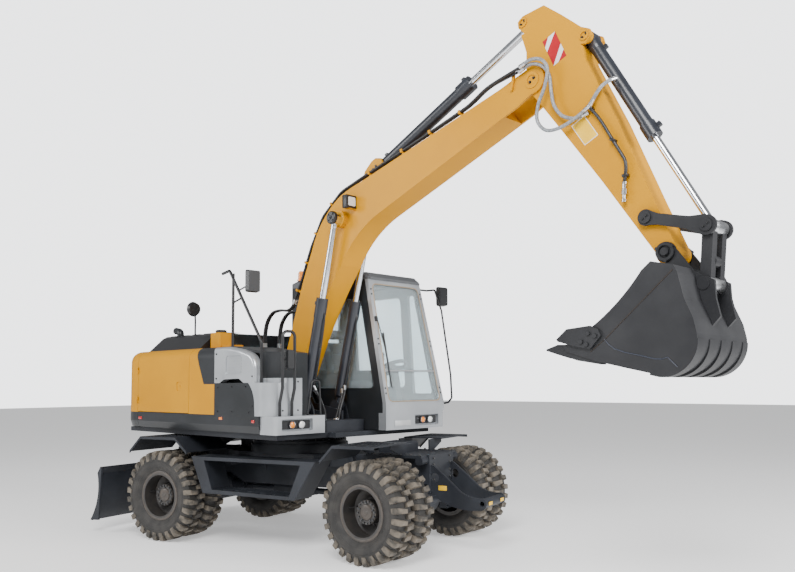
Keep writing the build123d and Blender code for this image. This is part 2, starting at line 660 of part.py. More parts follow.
with BuildPart() as counterweight:
    side_at, corner, back, bow = tail_points(0)
    with BuildSketch(deck(DECK_TOP)):
        with BuildLine():
            Polyline((TAIL_CORNER_X, side_at), (HOUSE_REAR_X - GAP, side_at), (HOUSE_REAR_X - GAP, -side_at),
                     (TAIL_CORNER_X, -side_at))
            ThreePointArc((TAIL_CORNER_X, -side_at), (corner[0], -corner[1]), (back, -TAIL_SIDE_Y))
            ThreePointArc((back, -TAIL_SIDE_Y), (bow, 0), (back, TAIL_SIDE_Y))
            ThreePointArc((back, TAIL_SIDE_Y), corner, (TAIL_CORNER_X, side_at))
        make_face()
    extrude(amount=HOUSE_TOP - DECK_TOP)
    crown = counterweight.faces().sort_by(Axis.Z)[-1].edges().sort_by(Axis.X)[:-1]
    fillet(crown, radius=SIDE_Y - SHOULDER_Y)
    for hand in (1, -1):
        for level in DOOR_HINGES:
            with BuildSketch(deck(level + 40 + FIT)):
                with Locations((HOUSE_REAR_X - 3, hand * (SIDE_Y + 12))):
                    Circle(10)
                with Locations((HOUSE_REAR_X - 18, hand * (SIDE_Y + 3))):
                    Rectangle(24, 6)
                with Locations((HOUSE_REAR_X - 8, hand * (SIDE_Y + 7))):
                    Rectangle(4, 10)
            extrude(amount=40)
save(counterweight, "counterweight")

# ---------------------------------------------------------------- engine house
BAY_FRONT_RIGHT = -567
BAY_FRONT_LEFT = -410
HOOD_TOP = 2470
HOOD_HINGE = (HOUSE_REAR_X - 20, HOUSE_TOP + 12.3)
with BuildPart() as engine_block:
    with BuildSketch(deck(DECK_TOP)):
        with Locations((-1180, -60)):
            Rectangle(900, 1500)
    extrude(amount=640)
    with BuildSketch(deck(1420)):
        with Locations((-1180, -140)):
            Rectangle(700, 500)
    extrude(amount=DECK_TOP - 1420)
save(engine_block, "engine_block")

with BuildPart() as house_frame:
    with BuildSketch(deck(SKIRT_BOTTOM - 12)):
        with Locations((HOUSE_REAR_X + 25, 0)):
            Rectangle(40, 2 * 1130)
        with Locations((BAY_FRONT_RIGHT + 25, -783)):
            Rectangle(40, 694)
        with Locations((BAY_FRONT_LEFT - 20, 638)):
            Rectangle(40, 964)
    extrude(amount=HOUSE_TOP - 80 - SKIRT_BOTTOM + 12)
    with BuildSketch(deck(1420)):
        with Locations((BAY_FRONT_RIGHT + 25, -150)):
            Rectangle(40, 620)
        with Locations((-480, 150)):
            Rectangle(140, 40)
    extrude(amount=HOUSE_TOP - 80 - 1420)
save(house_frame, "house_frame")

for name, hand, front in (("right", -1, BAY_FRONT_RIGHT), ("left", 1, BAY_FRONT_LEFT)):
    with BuildPart() as side_door:
        with BuildSketch(cross(HOUSE_REAR_X)):
            with BuildLine():
                Polyline((hand * (SIDE_Y - PANEL), DECK_TOP + GAP), (hand * SIDE_Y, DECK_TOP + GAP),
                         (hand * SIDE_Y, SHOULDER_Z))
                ThreePointArc((hand * SIDE_Y, SHOULDER_Z), (hand * 1199, 2229), (hand * SHOULDER_Y, HOUSE_TOP))
                Polyline((hand * SHOULDER_Y, HOUSE_TOP), (hand * SHOULDER_Y, HOUSE_TOP - PANEL))
                ThreePointArc((hand * SHOULDER_Y, HOUSE_TOP - PANEL), (hand * 1171, 2201),
                              (hand * (SIDE_Y - PANEL), SHOULDER_Z))
                Line((hand * (SIDE_Y - PANEL), SHOULDER_Z), (hand * (SIDE_Y - PANEL), DECK_TOP + GAP))
            make_face()
        extrude(amount=front - GAP - HOUSE_REAR_X)
        for level in DOOR_HINGES:
            with BuildSketch(deck(level)):
                with Locations((HOUSE_REAR_X - 3, hand * (SIDE_Y + 12))):
                    Circle(10)
                with Locations((HOUSE_REAR_X + 12, hand * (SIDE_Y + 3))):
                    Rectangle(24, 6)
                with Locations((HOUSE_REAR_X + 2, hand * (SIDE_Y + 7))):
                    Rectangle(4, 10)
            extrude(amount=40)
        with BuildSketch(side(hand * SIDE_Y)):
            with Locations(LATCH):
                RectangleRounded(110, 110, 24)
        extrude(amount=hand * 8, mode=Mode.SUBTRACT)
        with BuildSketch(side(hand * (SIDE_Y - 8))):
            with Locations(LATCH):
                Circle(16)
        extrude(amount=-hand * 5)
    save(side_door, f"engine_door_{name}")

with BuildPart() as engine_hood:
    for inset, mode in ((0, Mode.ADD), (14, Mode.SUBTRACT)):
        with BuildSketch(cross(HOUSE_REAR_X + GAP + inset)):
            with BuildLine():
                Polyline((-SHOULDER_Y + GAP + inset, HOUSE_TOP - 50 - inset), (-SHOULDER_Y + GAP + inset, HOUSE_TOP),
                         (-900 + inset / 2, HOOD_TOP - 30 - inset), (-840, HOOD_TOP - inset),
                         (840, HOOD_TOP - inset), (900 - inset / 2, HOOD_TOP - 30 - inset),
                         (SHOULDER_Y - GAP - inset, HOUSE_TOP), (SHOULDER_Y - GAP - inset, HOUSE_TOP - 50 - inset),
                         close=True)
            make_face()
        extrude(amount=BAY_FRONT_RIGHT - HOUSE_REAR_X - 2 * GAP - 2 * inset, mode=mode)
    for y in (-500, 500):
        with BuildSketch(side(y)):
            with BuildLine():
                Polyline((HOOD_HINGE[0], HOOD_HINGE[1] - 12), (HOUSE_REAR_X + GAP, HOOD_HINGE[1] - 12),
                         (HOUSE_REAR_X + GAP, HOOD_HINGE[1] + 30), (HOOD_HINGE[0], HOOD_HINGE[1] + 12), close=True)
            make_face()
            with Locations(HOOD_HINGE):
                Circle(12)
        extrude(amount=60, both=True)
    with BuildLine():
        FilletPolyline((-1080, -840, HOOD_TOP - 10), (-1080, -840, 2640), (-1000, -900, 2790), radius=40)
    with BuildSketch(deck(HOOD_TOP - 10)):
        with Locations((-1080, -840)):
            Circle(11)
    sweep()
    with BuildSketch(cross(-1030)):
        with Locations((-905, 2790)):
            Circle(95)
    extrude(amount=42, taper=20)
save(engine_hood, "engine_hood")

with BuildPart() as exhaust:
    with BuildLine():
        FilletPolyline((-1490, -800, HOOD_TOP), (-1490, -800, 2525), (-1600, -800, 2545), radius=40)
    with BuildSketch(deck(HOOD_TOP)):
        with Locations((-1490, -800)):
            Circle(45)
    sweep()
save(exhaust, "exhaust")

# ---------------------------------------------------------------- cab's outside sizes
CAB_REAR = -390
CAB_FRONT = 1321
CAB_RIGHT = 183
CAB_LEFT = 1220
CAB_BOTTOM = 1295
CAB_SEAM = 1493              # top of the silver box under the cab's front

# ---------------------------------------------------------------- tank side, right of the boom
TANK_INNER_Y = -515
CHEEK_X = -40
WALL_X = 750
COVER_BEND = 222             # where the tank's cover starts to fall forward
COVER_FRONT_Z = 2190
VENT_BARS = 6
with BuildPart() as tank:
    with BuildSketch(deck(SKIRT_BOTTOM - 12)):
        with BuildLine():
            Polyline((-520, -1100), (WALL_X - 25, -1100), (WALL_X - 25, TANK_INNER_Y - 10), (200, TANK_INNER_Y - 10),
                     (120, -436), (-520, -436), close=True)
        make_face()
    extrude(amount=2235 - SKIRT_BOTTOM + 12)
    with BuildSketch(side(-1150)):
        with BuildLine():
            Polyline((COVER_BEND - 15, 2238), (COVER_BEND - 15, 2300), (WALL_X + 50, 2300), (WALL_X + 50, 2150), close=True)
        make_face()
    extrude(amount=-800, mode=Mode.SUBTRACT)
save(tank, "tank")

TRIM_EDGE = ((CHEEK_X, 2320), (-448, 2320), (-448, HOUSE_TOP), (-392, 2147), (-361, 2064), (-259, 1838), (CHEEK_X, 1838))


def shoulder_panel(cut):
    """The rounded panel behind the cheek, outside or inside the corner trim's outline."""
    with BuildPart() as panel:
        with BuildSketch(cross(BAY_FRONT_RIGHT)):
            with BuildLine():
                Polyline((-SIDE_Y + PANEL, DECK_TOP), (-SIDE_Y, DECK_TOP), (-SIDE_Y, SHOULDER_Z))
                ThreePointArc((-SIDE_Y, SHOULDER_Z), (-1199, 2229), (-SHOULDER_Y, HOUSE_TOP))
                Polyline((-SHOULDER_Y, HOUSE_TOP), (-400, HOUSE_TOP), (-400, HOUSE_TOP - 28), (-1115, HOUSE_TOP - 28),
                         (-SIDE_Y + PANEL, SHOULDER_Z), (-SIDE_Y + PANEL, DECK_TOP))
            make_face()
        extrude(amount=CHEEK_X - BAY_FRONT_RIGHT)
        with BuildSketch(side(-SIDE_Y - 20)):
            with BuildLine():
                Polyline(*TRIM_EDGE, close=True)
            make_face()
        extrude(amount=-(SIDE_Y - SHOULDER_Y + 60), mode=cut)
    return panel.part


with BuildPart() as tank_panel:
    add(shoulder_panel(Mode.SUBTRACT))
    with BuildSketch(deck(HOUSE_TOP)):
        with Locations((-415, -900)):
            RectangleRounded(200, 180, 20)
    extrude(amount=190)
    with BuildSketch(deck(HOUSE_TOP)):
        with Locations((-230, -860)):
            RectangleRounded(180, 200, 20)
    extrude(amount=36)
save(tank_panel, "tank_panel")

with BuildPart() as cheek:
    with BuildSketch(side(-SIDE_Y)):
        with BuildLine():
            Polyline((CHEEK_X, 1850.3), (60, 1850.3), (140, 1890), (430, 1898), (520, 1850.3), (WALL_X - 20, 1850.3),
                     (WALL_X - 20, 1990))
            ThreePointArc((WALL_X - 20, 1990), (690, 2110), (590, 2180))
            Polyline((590, 2180), (430, 2225), (COVER_BEND, 2258), (CHEEK_X, 2258), (CHEEK_X, 1850.3))
        make_face()
    extrude(amount=-90)
    rim_of_face = cheek.faces().sort_by(Axis.Y)[0].edges()
    fillet(rim_of_face.filter_by(lambda edge: edge.center().Z > 1920 and edge.center().X > CHEEK_X + 1), radius=40)
    with BuildSketch(side(-SIDE_Y)):
        with Locations((330, 2050)):
            RectangleRounded(300, 210, 30)
    extrude(amount=-12, mode=Mode.SUBTRACT)
    for row in range(VENT_BARS):
        with BuildSketch(side(-SIDE_Y + 12)):
            with Locations((330, 1970 + row * 160 / (VENT_BARS - 1))):
                Rectangle(270, 12)
        extrude(amount=7)
save(cheek, "cheek")

with BuildPart() as lower_panel:
    with BuildSketch(side(-SIDE_Y)):
        with BuildLine():
            Polyline((CHEEK_X, DECK_TOP), (726, DECK_TOP), (720, 1600))
            ThreePointArc((720, 1600), (690, 1740), (605, 1850))
            Polyline((605, 1850), (CHEEK_X, 1850), (CHEEK_X, DECK_TOP))
        make_face()
    extrude(amount=-90)
    with BuildSketch(side(-1149)):
        with BuildLine():
            Polyline((WALL_X - 25, DECK_TOP), (WALL_X, DECK_TOP), (WALL_X, COVER_FRONT_Z), (COVER_BEND, 2266),
                     (CHEEK_X, 2266), (CHEEK_X, 2240), (COVER_BEND, 2240), (WALL_X - 25, COVER_FRONT_Z - 23), close=True)
        make_face()
    extrude(amount=-(1149 + TANK_INNER_Y))
    add(shoulder_panel(Mode.INTERSECT))
save(lower_panel, "lower_panel")

STEP_TOP = 1850
with BuildPart() as step_box:
    for top, back_corners, outer_y in (
        (STEP_TOP - FIT, ((WALL_X + FIT, -1149.4), (600, -1149.4), (600, -SIDE_Y)), SIDE_Y),
        (STEP_TOP + 50, ((WALL_X + FIT, -1149),), 1149),
    ):
        with BuildSketch(deck(DECK_TOP)):
            with BuildLine():
                Polyline((WALL_X + FIT, -780), *back_corners, (790, -outer_y))
                ThreePointArc((790, -outer_y), (917, -outer_y + 53), (970, -outer_y + 180))
                Polyline((970, -outer_y + 180), (970, -780), (WALL_X + FIT, -780))
            make_face()
        extrude(amount=top - DECK_TOP)
    with BuildSketch(side(-SIDE_Y - 10)):
        with BuildLine():
            Polyline((590, DECK_TOP - 10), (726 + FIT, DECK_TOP - 10), (726 + FIT, DECK_TOP), (720 + FIT, 1600))
            ThreePointArc((720 + FIT, 1600), (690 + FIT, 1740), (605 + FIT, 1850 + FIT))
            Polyline((605 + FIT, 1850 + FIT), (590, 1850 + FIT), (590, DECK_TOP - 10))
        make_face()
    extrude(amount=-100.5, mode=Mode.SUBTRACT)
save(step_box, "step_box")

LAMP_RECESS_Z = (1332, 1460)
LAMP_BLOCK_Z = (1350, 1445)
RIGHT_RECESS_Y = (-1130, -700)
LEFT_RECESS_Y = (680, 1110)
with BuildPart() as front_boxes:
    with BuildSketch(deck(SKIRT_BOTTOM - 7)):
        with BuildLine():
            Polyline((1001, -1150), (800, -1150), (800, -1220), (1020, -1220))
            ThreePointArc((1020, -1220), (1048, -1209), (1059, -1180))
            Polyline((1059, -1180), (1059, -524), (1001, -524), (1001, -1150))
        make_face()
    extrude(amount=DECK_TOP - SKIRT_BOTTOM + 7)
    with BuildSketch(deck(SKIRT_BOTTOM - 12)):
        with Locations(((800 + 1001) / 2, -837)):
            Rectangle(201, 626)
    extrude(amount=DECK_TOP - SKIRT_BOTTOM + 12)
    with BuildSketch(deck(CAB_BOTTOM)):
        with BuildLine():
            Polyline((1200, CAB_RIGHT), (CAB_FRONT, CAB_RIGHT), (CAB_FRONT, CAB_LEFT - 40))
            ThreePointArc((CAB_FRONT, CAB_LEFT - 40), (CAB_FRONT - 12, CAB_LEFT - 12), (CAB_FRONT - 40, CAB_LEFT))
            Polyline((CAB_FRONT - 40, CAB_LEFT), (1200, CAB_LEFT), (1200, CAB_RIGHT))
        make_face()
    extrude(amount=CAB_SEAM - CAB_BOTTOM)
    for face_x, (low_y, high_y) in ((1059, RIGHT_RECESS_Y), (CAB_FRONT, LEFT_RECESS_Y)):
        with BuildSketch(cross(face_x)):
            with Locations(((low_y + high_y) / 2, sum(LAMP_RECESS_Z) / 2)):
                RectangleRounded(high_y - low_y, LAMP_RECESS_Z[1] - LAMP_RECESS_Z[0], 14)
        extrude(amount=-45, mode=Mode.SUBTRACT)
    with BuildSketch(cross(CAB_FRONT)):
        with Locations((462, 1370)):
            RectangleRounded(290, 80, 12)
    extrude(amount=3)
save(front_boxes, "front_boxes")

# ---------------------------------------------------------------- cab
CAB_BELT = 1604
CAB_TOP = 3085
CAB_FRONT_TOP = 1030
CAB_LEFT_TOP = 1105
CAB_WALL = 45
CAB_FLOOR = 1400
CAB_HINGE_AXIS = (-243, CAB_LEFT + 11)
CAB_HINGES = ((1400, 1195), (1540, 1195), (2300, 1145))   # height, inner end of the leaf
DOOR_FRONT = 780
DOOR_REAR = -240
DOOR_BOTTOM = 1330
DOOR_TOP = 3040
FRAME_DEPTH = 55             # silver front frame, from the cab's front face
CORNER = 70                  # rounded corners of the window openings
PANE_OUT = 18                # glass lies this far inside the cab's skin
PANE_IN = 24
SCREEN_BAR_Z = 1985
# windows: plane, outline, depth along the plane's normal, corner rounding
WINDOWS = (
    (cross(900), ((CAB_RIGHT + 55, 1625), (CAB_LEFT - 65, 1625), (CAB_LEFT_TOP - 60, 3030), (CAB_RIGHT + 55, 3030)),
     500, CORNER),
    (side(CAB_RIGHT + 100), ((CAB_REAR + 110, 1775), (1130, 1775), (900, 2870), (CAB_REAR + 110, 2870)),
     200, CORNER),
    (cross(CAB_REAR + 100), ((CAB_RIGHT + 110, 2330), (CAB_LEFT - 200, 2330), (1000, 2960), (CAB_RIGHT + 110, 2960)),
     -200, CORNER),
    (side(CAB_LEFT + 60), ((DOOR_FRONT + 60, 1700), (1170, 1700), (950, 2960), (DOOR_FRONT + 60, 2960)),
     240, 0.55 * CORNER),
)
DOOR_WINDOW = ((DOOR_REAR + 80, 1780), (DOOR_FRONT - 70, 1780), (DOOR_FRONT - 70, 2950), (DOOR_REAR + 80, 2950))
DOOR_OUTLINE = ((DOOR_REAR, DOOR_BOTTOM), (DOOR_FRONT, DOOR_BOTTOM), (DOOR_FRONT, DOOR_TOP), (DOOR_REAR, DOOR_TOP))
DOOR_PRISM = (side(CAB_LEFT - 250), DOOR_WINDOW, -400, CORNER)


def cab_levels(inset):
    """Cab outline at the belt and at the roof, moved inwards by inset."""
    low = ((CAB_REAR + inset, CAB_RIGHT + inset), (CAB_FRONT - inset, CAB_RIGHT + inset),
           (CAB_FRONT - inset, CAB_LEFT - inset), (CAB_REAR + inset, CAB_LEFT - inset))
    high = ((CAB_REAR + inset, CAB_RIGHT + inset), (CAB_FRONT_TOP - inset, CAB_RIGHT + inset),
            (CAB_FRONT_TOP - inset, CAB_LEFT_TOP - inset), (CAB_REAR + inset, CAB_LEFT_TOP - inset))
    return low, high


def cab_layer(outer, inner, floor):
    """The cab's body between two insets, hollow above the floor."""
    with BuildPart() as layer:
        for inset, mode in ((outer, Mode.ADD), (inner, Mode.SUBTRACT)):
            low, high = cab_levels(inset)
            base = CAB_BOTTOM if mode == Mode.ADD else floor
            for level, outline in ((base, low), (CAB_BELT, low), (CAB_TOP, high)):
                with BuildSketch(deck(level)):
                    with BuildLine():
                        Polyline(*outline, close=True)
                    make_face()
            loft(ruled=True, mode=mode)
    return layer.part


def cab_prism(plane, outline, depth, rounding, shrink):
    """A straight prism through a wall, its outline rounded and drawn in by shrink."""
    with BuildPart() as prism:
        with BuildSketch(plane) as face:
            with BuildLine():
                Polyline(*outline, close=True)
            make_face()
            if rounding > 0:
                fillet(face.vertices(), radius=rounding)
            if shrink > 0:
                offset(amount=-shrink)
        extrude(amount=depth)
    return prism.part


def hinge_leaves(hand):
    """Knuckles and leaves of the cab door's hinges: hand 1 on the door, -1 on the cab."""
    with BuildPart() as leaves:
        for level, leaf_from in CAB_HINGES:
            with BuildSketch(deck(level if hand > 0 else level + 40 + FIT)):
                with Locations(CAB_HINGE_AXIS):
                    Circle(9)
                with Locations((CAB_HINGE_AXIS[0] + hand * 15, (leaf_from + CAB_LEFT + 15) / 2)):
                    Rectangle(24, CAB_LEFT + 15 - leaf_from)
            extrude(amount=40)
    return leaves.part


FRAME_SIDE = ((CAB_FRONT - FRAME_DEPTH, CAB_SEAM + FIT), (CAB_FRONT + 50, CAB_SEAM + FIT), (CAB_FRONT + 50, CAB_TOP + 10),
              (CAB_FRONT_TOP - FRAME_DEPTH, CAB_TOP + 10), (CAB_FRONT - FRAME_DEPTH, CAB_BELT))
BOX_SIDE = ((1200 - GAP, CAB_BOTTOM - 10), (CAB_FRONT + 50, CAB_BOTTOM - 10), (CAB_FRONT + 50, CAB_SEAM + FIT),
            (1200 - GAP, CAB_SEAM + FIT))
door_hole = tuple((x + (GAP if x == DOOR_FRONT else -GAP), z + (GAP if z == DOOR_TOP else -GAP)) for x, z in DOOR_OUTLINE)
with BuildPart() as cab_shell:
    add(cab_layer(0, CAB_WALL, CAB_FLOOR))
    for window in WINDOWS:
        add(cab_prism(*window, 0), mode=Mode.SUBTRACT)
    add(cab_prism(side(CAB_LEFT - 250), door_hole, -400, 0, 0), mode=Mode.SUBTRACT)
    add(cab_prism(side(CAB_RIGHT - 50), BOX_SIDE, -1200, 0, 0), mode=Mode.SUBTRACT)
    add(cab_prism(side(CAB_RIGHT - 50), FRAME_SIDE, -1200, 0, 0), mode=Mode.SUBTRACT)
    add(hinge_leaves(-1))
save(cab_shell, "cab_shell")

with BuildPart() as cab_front:
    add(cab_layer(0, CAB_WALL, CAB_FLOOR))
    add(cab_prism(*WINDOWS[0], 0), mode=Mode.SUBTRACT)
    add(cab_prism(side(CAB_RIGHT - 50), FRAME_SIDE, -1200, 0, 0), mode=Mode.INTERSECT)
    front_x = CAB_FRONT - (SCREEN_BAR_Z - CAB_BELT) / (CAB_TOP - CAB_BELT) * (CAB_FRONT - CAB_FRONT_TOP)
    with BuildSketch(side(CAB_RIGHT + 50)):
        with BuildLine():
            Polyline((front_x - 12, SCREEN_BAR_Z - 10), (front_x + 2, SCREEN_BAR_Z - 10),
                     (front_x - 2, SCREEN_BAR_Z + 10), (front_x - 16, SCREEN_BAR_Z + 10), close=True)
        make_face()
    extrude(amount=-(CAB_LEFT - CAB_RIGHT - 140))
save(cab_front, "cab_front")

with BuildPart() as cab_door:
    add(cab_layer(0, CAB_WALL - 8, CAB_BOTTOM))
    add(cab_prism(side(CAB_LEFT - 250), DOOR_OUTLINE, -400, 0, 0), mode=Mode.INTERSECT)
    add(cab_prism(*DOOR_PRISM, 0), mode=Mode.SUBTRACT)
    add(hinge_leaves(1))
save(cab_door, "cab_door")

pane_layer = cab_layer(PANE_OUT, PANE_IN, CAB_BOTTOM - 5)
for name, prisms in (("cab_glass", WINDOWS), ("door_glass", (DOOR_PRISM,))):
    with BuildPart() as panes:
        for prism in prisms:
            add(cab_prism(*prism, FIT))
        add(pane_layer, mode=Mode.INTERSECT)
    save(panes, name)

with BuildPart() as cab_roof:
    with BuildSketch(side(CAB_RIGHT)):
        with BuildLine():
            Polyline((CAB_REAR, CAB_TOP), (CAB_FRONT_TOP + 20, CAB_TOP), (CAB_FRONT_TOP + 20, 3110), (968, 3175),
                     (700, 3190), (-300, 3180), (CAB_REAR, 3140), close=True)
        make_face()
    extrude(amount=-(CAB_LEFT_TOP - CAB_RIGHT))
    for edge_y in (CAB_RIGHT, CAB_LEFT_TOP):
        ridge = cab_roof.edges().filter_by(lambda edge: abs(edge.center().Y - edge_y) < 1 and edge.center().Z > 3115)
        chamfer(ridge.filter_by(lambda edge: edge.length > 100), length=30)
    with BuildSketch(cross(620)):
        with Locations((300, 3185), (960, 3185)):
            Rectangle(60, 10)
    extrude(amount=200)
save(cab_roof, "cab_roof")

with BuildPart() as seat:
    with BuildSketch(deck(CAB_FLOOR)):
        with Locations((150, 680)):
            Rectangle(420, 420)
    extrude(amount=350)
    with BuildSketch(deck(CAB_FLOOR + 350)):
        with Locations((170, 680)):
            RectangleRounded(500, 500, 60)
    extrude(amount=140)
    with BuildSketch(side(680)):
        with BuildLine():
            Polyline((-80, 1880), (30, 1880), (-60, 2560), (-150, 2560), close=True)
        make_face()
    extrude(amount=230, both=True)
save(seat, "seat")

with BuildPart() as console:
    for y in (330, 1000):
        with BuildSketch(deck(CAB_FLOOR)):
            with Locations((250, y)):
                RectangleRounded(520, 120, 30)
        extrude(amount=560)
    with BuildSketch(side(680)):
        with BuildLine():
            Polyline((980, CAB_FLOOR), (1120, CAB_FLOOR), (1000, 1990), (965, 2030), (930, 2012), close=True)
        make_face()
    extrude(amount=50, both=True)
    with BuildSketch(Plane(origin=(950, 680, 2030), x_dir=(0, 1, 0), z_dir=(-0.42, 0, 0.91))):
        Circle(190)
        Circle(172, mode=Mode.SUBTRACT)
        Rectangle(370, 34)
        Circle(50)
    extrude(amount=22, both=True)
save(console, "console")

# ---------------------------------------------------------------- rails and mirrors
BEACON_X = -270
# rails: radius of the pipe, bend, then its corners
rails = (
    (17, 60, ((1000, -1114, DECK_TOP), (1000, -1114, 1640), (1045, -1114, 1790), (1045, -1114, 2400), (1045, -949, 2400),
              (1045, -949, 1790), (1000, -949, 1640), (1000, -949, DECK_TOP))),
    (13, 40, ((1005, -729, DECK_TOP), (1005, -729, 1520), (1005, -670, 1870), (1005, -560, 1870), (1005, -545, 1520),
              (1005, -545, DECK_TOP))),
    (17, 60, ((785, -1195, STEP_TOP), (785, -1195, 2290), (506, -1195, 2675), (176, -1195, 3132), (-100, -1100, 3132))),
    (17, 0, ((-100, -950, HOUSE_TOP), (-100, -950, 3150))),
    (11, 0, ((-100, -950, 2800), (416, -1195, 2800))),
    (9, 0, ((1045, -1114, 2100), (1045, -949, 2100))),
    (9, 0, ((352, -1195, 2888), (610, -1200, 2950))),
)
with BuildPart() as handrails:
    for radius, bend, points in rails:
        with BuildLine():
            if bend > 0:
                FilletPolyline(*points, radius=bend)
            else:
                Line(*points)
        start = Vector(*points[0])
        with BuildSketch(Plane(origin=start, z_dir=(Vector(*points[1]) - start).normalized())):
            Circle(radius)
        sweep()
    for centre, width, height in (((1045, -1031, 2100), 100, 210), ((610, -1200, 2970), 170, 250)):
        with BuildSketch(cross(centre[0] - 12)):
            with Locations((centre[1], centre[2])):
                RectangleRounded(width, height, 24)
        extrude(amount=55, taper=8)
save(handrails, "handrails")

MIRROR_BAR_Y = CAB_LEFT + 30
bar_top_y = CAB_LEFT + (3023 - CAB_BELT) / (CAB_TOP - CAB_BELT) * (CAB_LEFT_TOP - CAB_LEFT)
mirror_bar = ((1288, CAB_LEFT + FIT, 1582), (1288, MIRROR_BAR_Y, 1582), (1368, MIRROR_BAR_Y, 1596),
              (1424, MIRROR_BAR_Y, 1653), (1410, MIRROR_BAR_Y, 1937), (1272, MIRROR_BAR_Y, 2750),
              (1161, MIRROR_BAR_Y, 3022), (1030, MIRROR_BAR_Y, 3023), (1030, bar_top_y + 1, 3023))
with BuildPart() as cab_mirror:
    with BuildLine():
        FilletPolyline(*mirror_bar, radius=22)
    with BuildSketch(side(CAB_LEFT + FIT)):
        with Locations(mirror_bar[0][::2]):
            Circle(12)
    sweep()
    with BuildSketch(cross(1180)):
        with Locations((MIRROR_BAR_Y + 90, 2940)):
            RectangleRounded(170, 250, 36)
    extrude(amount=60, taper=8)
save(cab_mirror, "cab_mirror")

# lamps: one in each front box, and the flashing light on the cab's roof
with BuildPart() as lamps:
    for face_x, (low_y, high_y) in ((1059, RIGHT_RECESS_Y), (CAB_FRONT, LEFT_RECESS_Y)):
        middle_y = (low_y + high_y) / 2
        with BuildSketch(cross(face_x - 44.7)):
            with Locations((middle_y, sum(LAMP_BLOCK_Z) / 2)):
                RectangleRounded(high_y - low_y - 40, LAMP_BLOCK_Z[1] - LAMP_BLOCK_Z[0], 20)
        extrude(amount=18)
        with BuildSketch(cross(face_x - 27)):
            with Locations((middle_y + 60, sum(LAMP_BLOCK_Z) / 2)):
                Circle(40)
            with Locations((middle_y - 70, sum(LAMP_BLOCK_Z) / 2)):
                Circle(36)
        extrude(amount=18, taper=12)
save(lamps, "lamps")

with BuildPart() as beacon:
    with BuildSketch(side(240)):
        with BuildLine():
            Polyline((BEACON_X, 3181.5), (BEACON_X + 55, 3181.5), (BEACON_X + 55, 3200), (BEACON_X + 44, 3204),
                     (BEACON_X + 42, 3285), (BEACON_X + 28, 3310), (BEACON_X, 3314), close=True)
        make_face()
    revolve(axis=Axis((BEACON_X, 240, 3200), (0, 0, 1)))
save(beacon, "beacon")

# ---------------------------------------------------------------- boom
BOOM_FOOT_RADIUS = 130
NOSE_RADIUS = 130
FORK_HALF = ARM_HALF + FIT
FORK_DEPTH = 420
with BuildPart() as boom:
    with BuildSketch(side(BOOM_Y)):
        with BuildLine():
            Line((44, 1999), (447, 3077))
            Line((447, 3077), (600, 3415))
            ThreePointArc((600, 3415), (800, 3752), (1109, 3995))
            ThreePointArc((1109, 3995), (1260, 4050), (1423, 4092))
            Polyline((1423, 4092), (3363, 4650), (3560, 4720), on_circle(BOOM_NOSE, NOSE_RADIUS, 95))
            ThreePointArc(on_circle(BOOM_NOSE, NOSE_RADIUS, 95), on_circle(BOOM_NOSE, NOSE_RADIUS, 0),
                          on_circle(BOOM_NOSE, NOSE_RADIUS, -95))
            Polyline(on_circle(BOOM_NOSE, NOSE_RADIUS, -95), (3560, 4430), (2450, 3987), (1746, 3709))
            ThreePointArc((1746, 3709), (1340, 3462), (1110, 3185))
            ThreePointArc((1110, 3185), (700, 2600), (354, 1948))
            Line((354, 1948), on_circle(BOOM_FOOT, BOOM_FOOT_RADIUS, 15))
            ThreePointArc(on_circle(BOOM_FOOT, BOOM_FOOT_RADIUS, 15), on_circle(BOOM_FOOT, BOOM_FOOT_RADIUS, -90),
                          on_circle(BOOM_FOOT, BOOM_FOOT_RADIUS, 172))
            Line(on_circle(BOOM_FOOT, BOOM_FOOT_RADIUS, 172), (44, 1999))
        make_face()
    extrude(amount=BOOM_HALF, both=True)
    with BuildSketch(side(BOOM_Y)):
        with Locations(BOOM_NOSE):
            Circle(FORK_DEPTH)
    extrude(amount=FORK_HALF, both=True, mode=Mode.SUBTRACT)
    for inner in (BOOM_Y - 90, BOOM_Y + 70):
        with BuildSketch(side(inner + 20)):
            with BuildLine():
                Polyline((1380, 4070), (1434, 4227), (1540, 4320), (1605, 4347), (1689, 4330), (1760, 4180),
                         close=True)
            make_face()
        extrude(amount=20)
    with BuildSketch(side(BOOM_Y)):
        with Locations(BOOM_CYLINDER_EYE):
            Circle(95)
    extrude(amount=BOOM_CYLINDER_SPREAD - 40 - FIT, both=True)
    for hand in (1, -1):
        with BuildSketch(side(BOOM_Y + hand * BOOM_HALF)):
            with Locations(BOOM_NOSE):
                Circle(78)
                Circle(48, mode=Mode.SUBTRACT)
        extrude(amount=-hand * 8)
    # work lamp on its bracket, right side
    lamp_y = BOOM_Y - BOOM_HALF - 75
    with BuildSketch(deck(3790)):
        with Locations((1330, BOOM_Y - BOOM_HALF - 55)):
            Rectangle(60, 110)
    extrude(amount=8)
    with BuildSketch(cross(1290)):
        with Locations((lamp_y, 3870)):
            RectangleRounded(150, 145, 30)
    extrude(amount=75, taper=10)
save(boom, "boom")

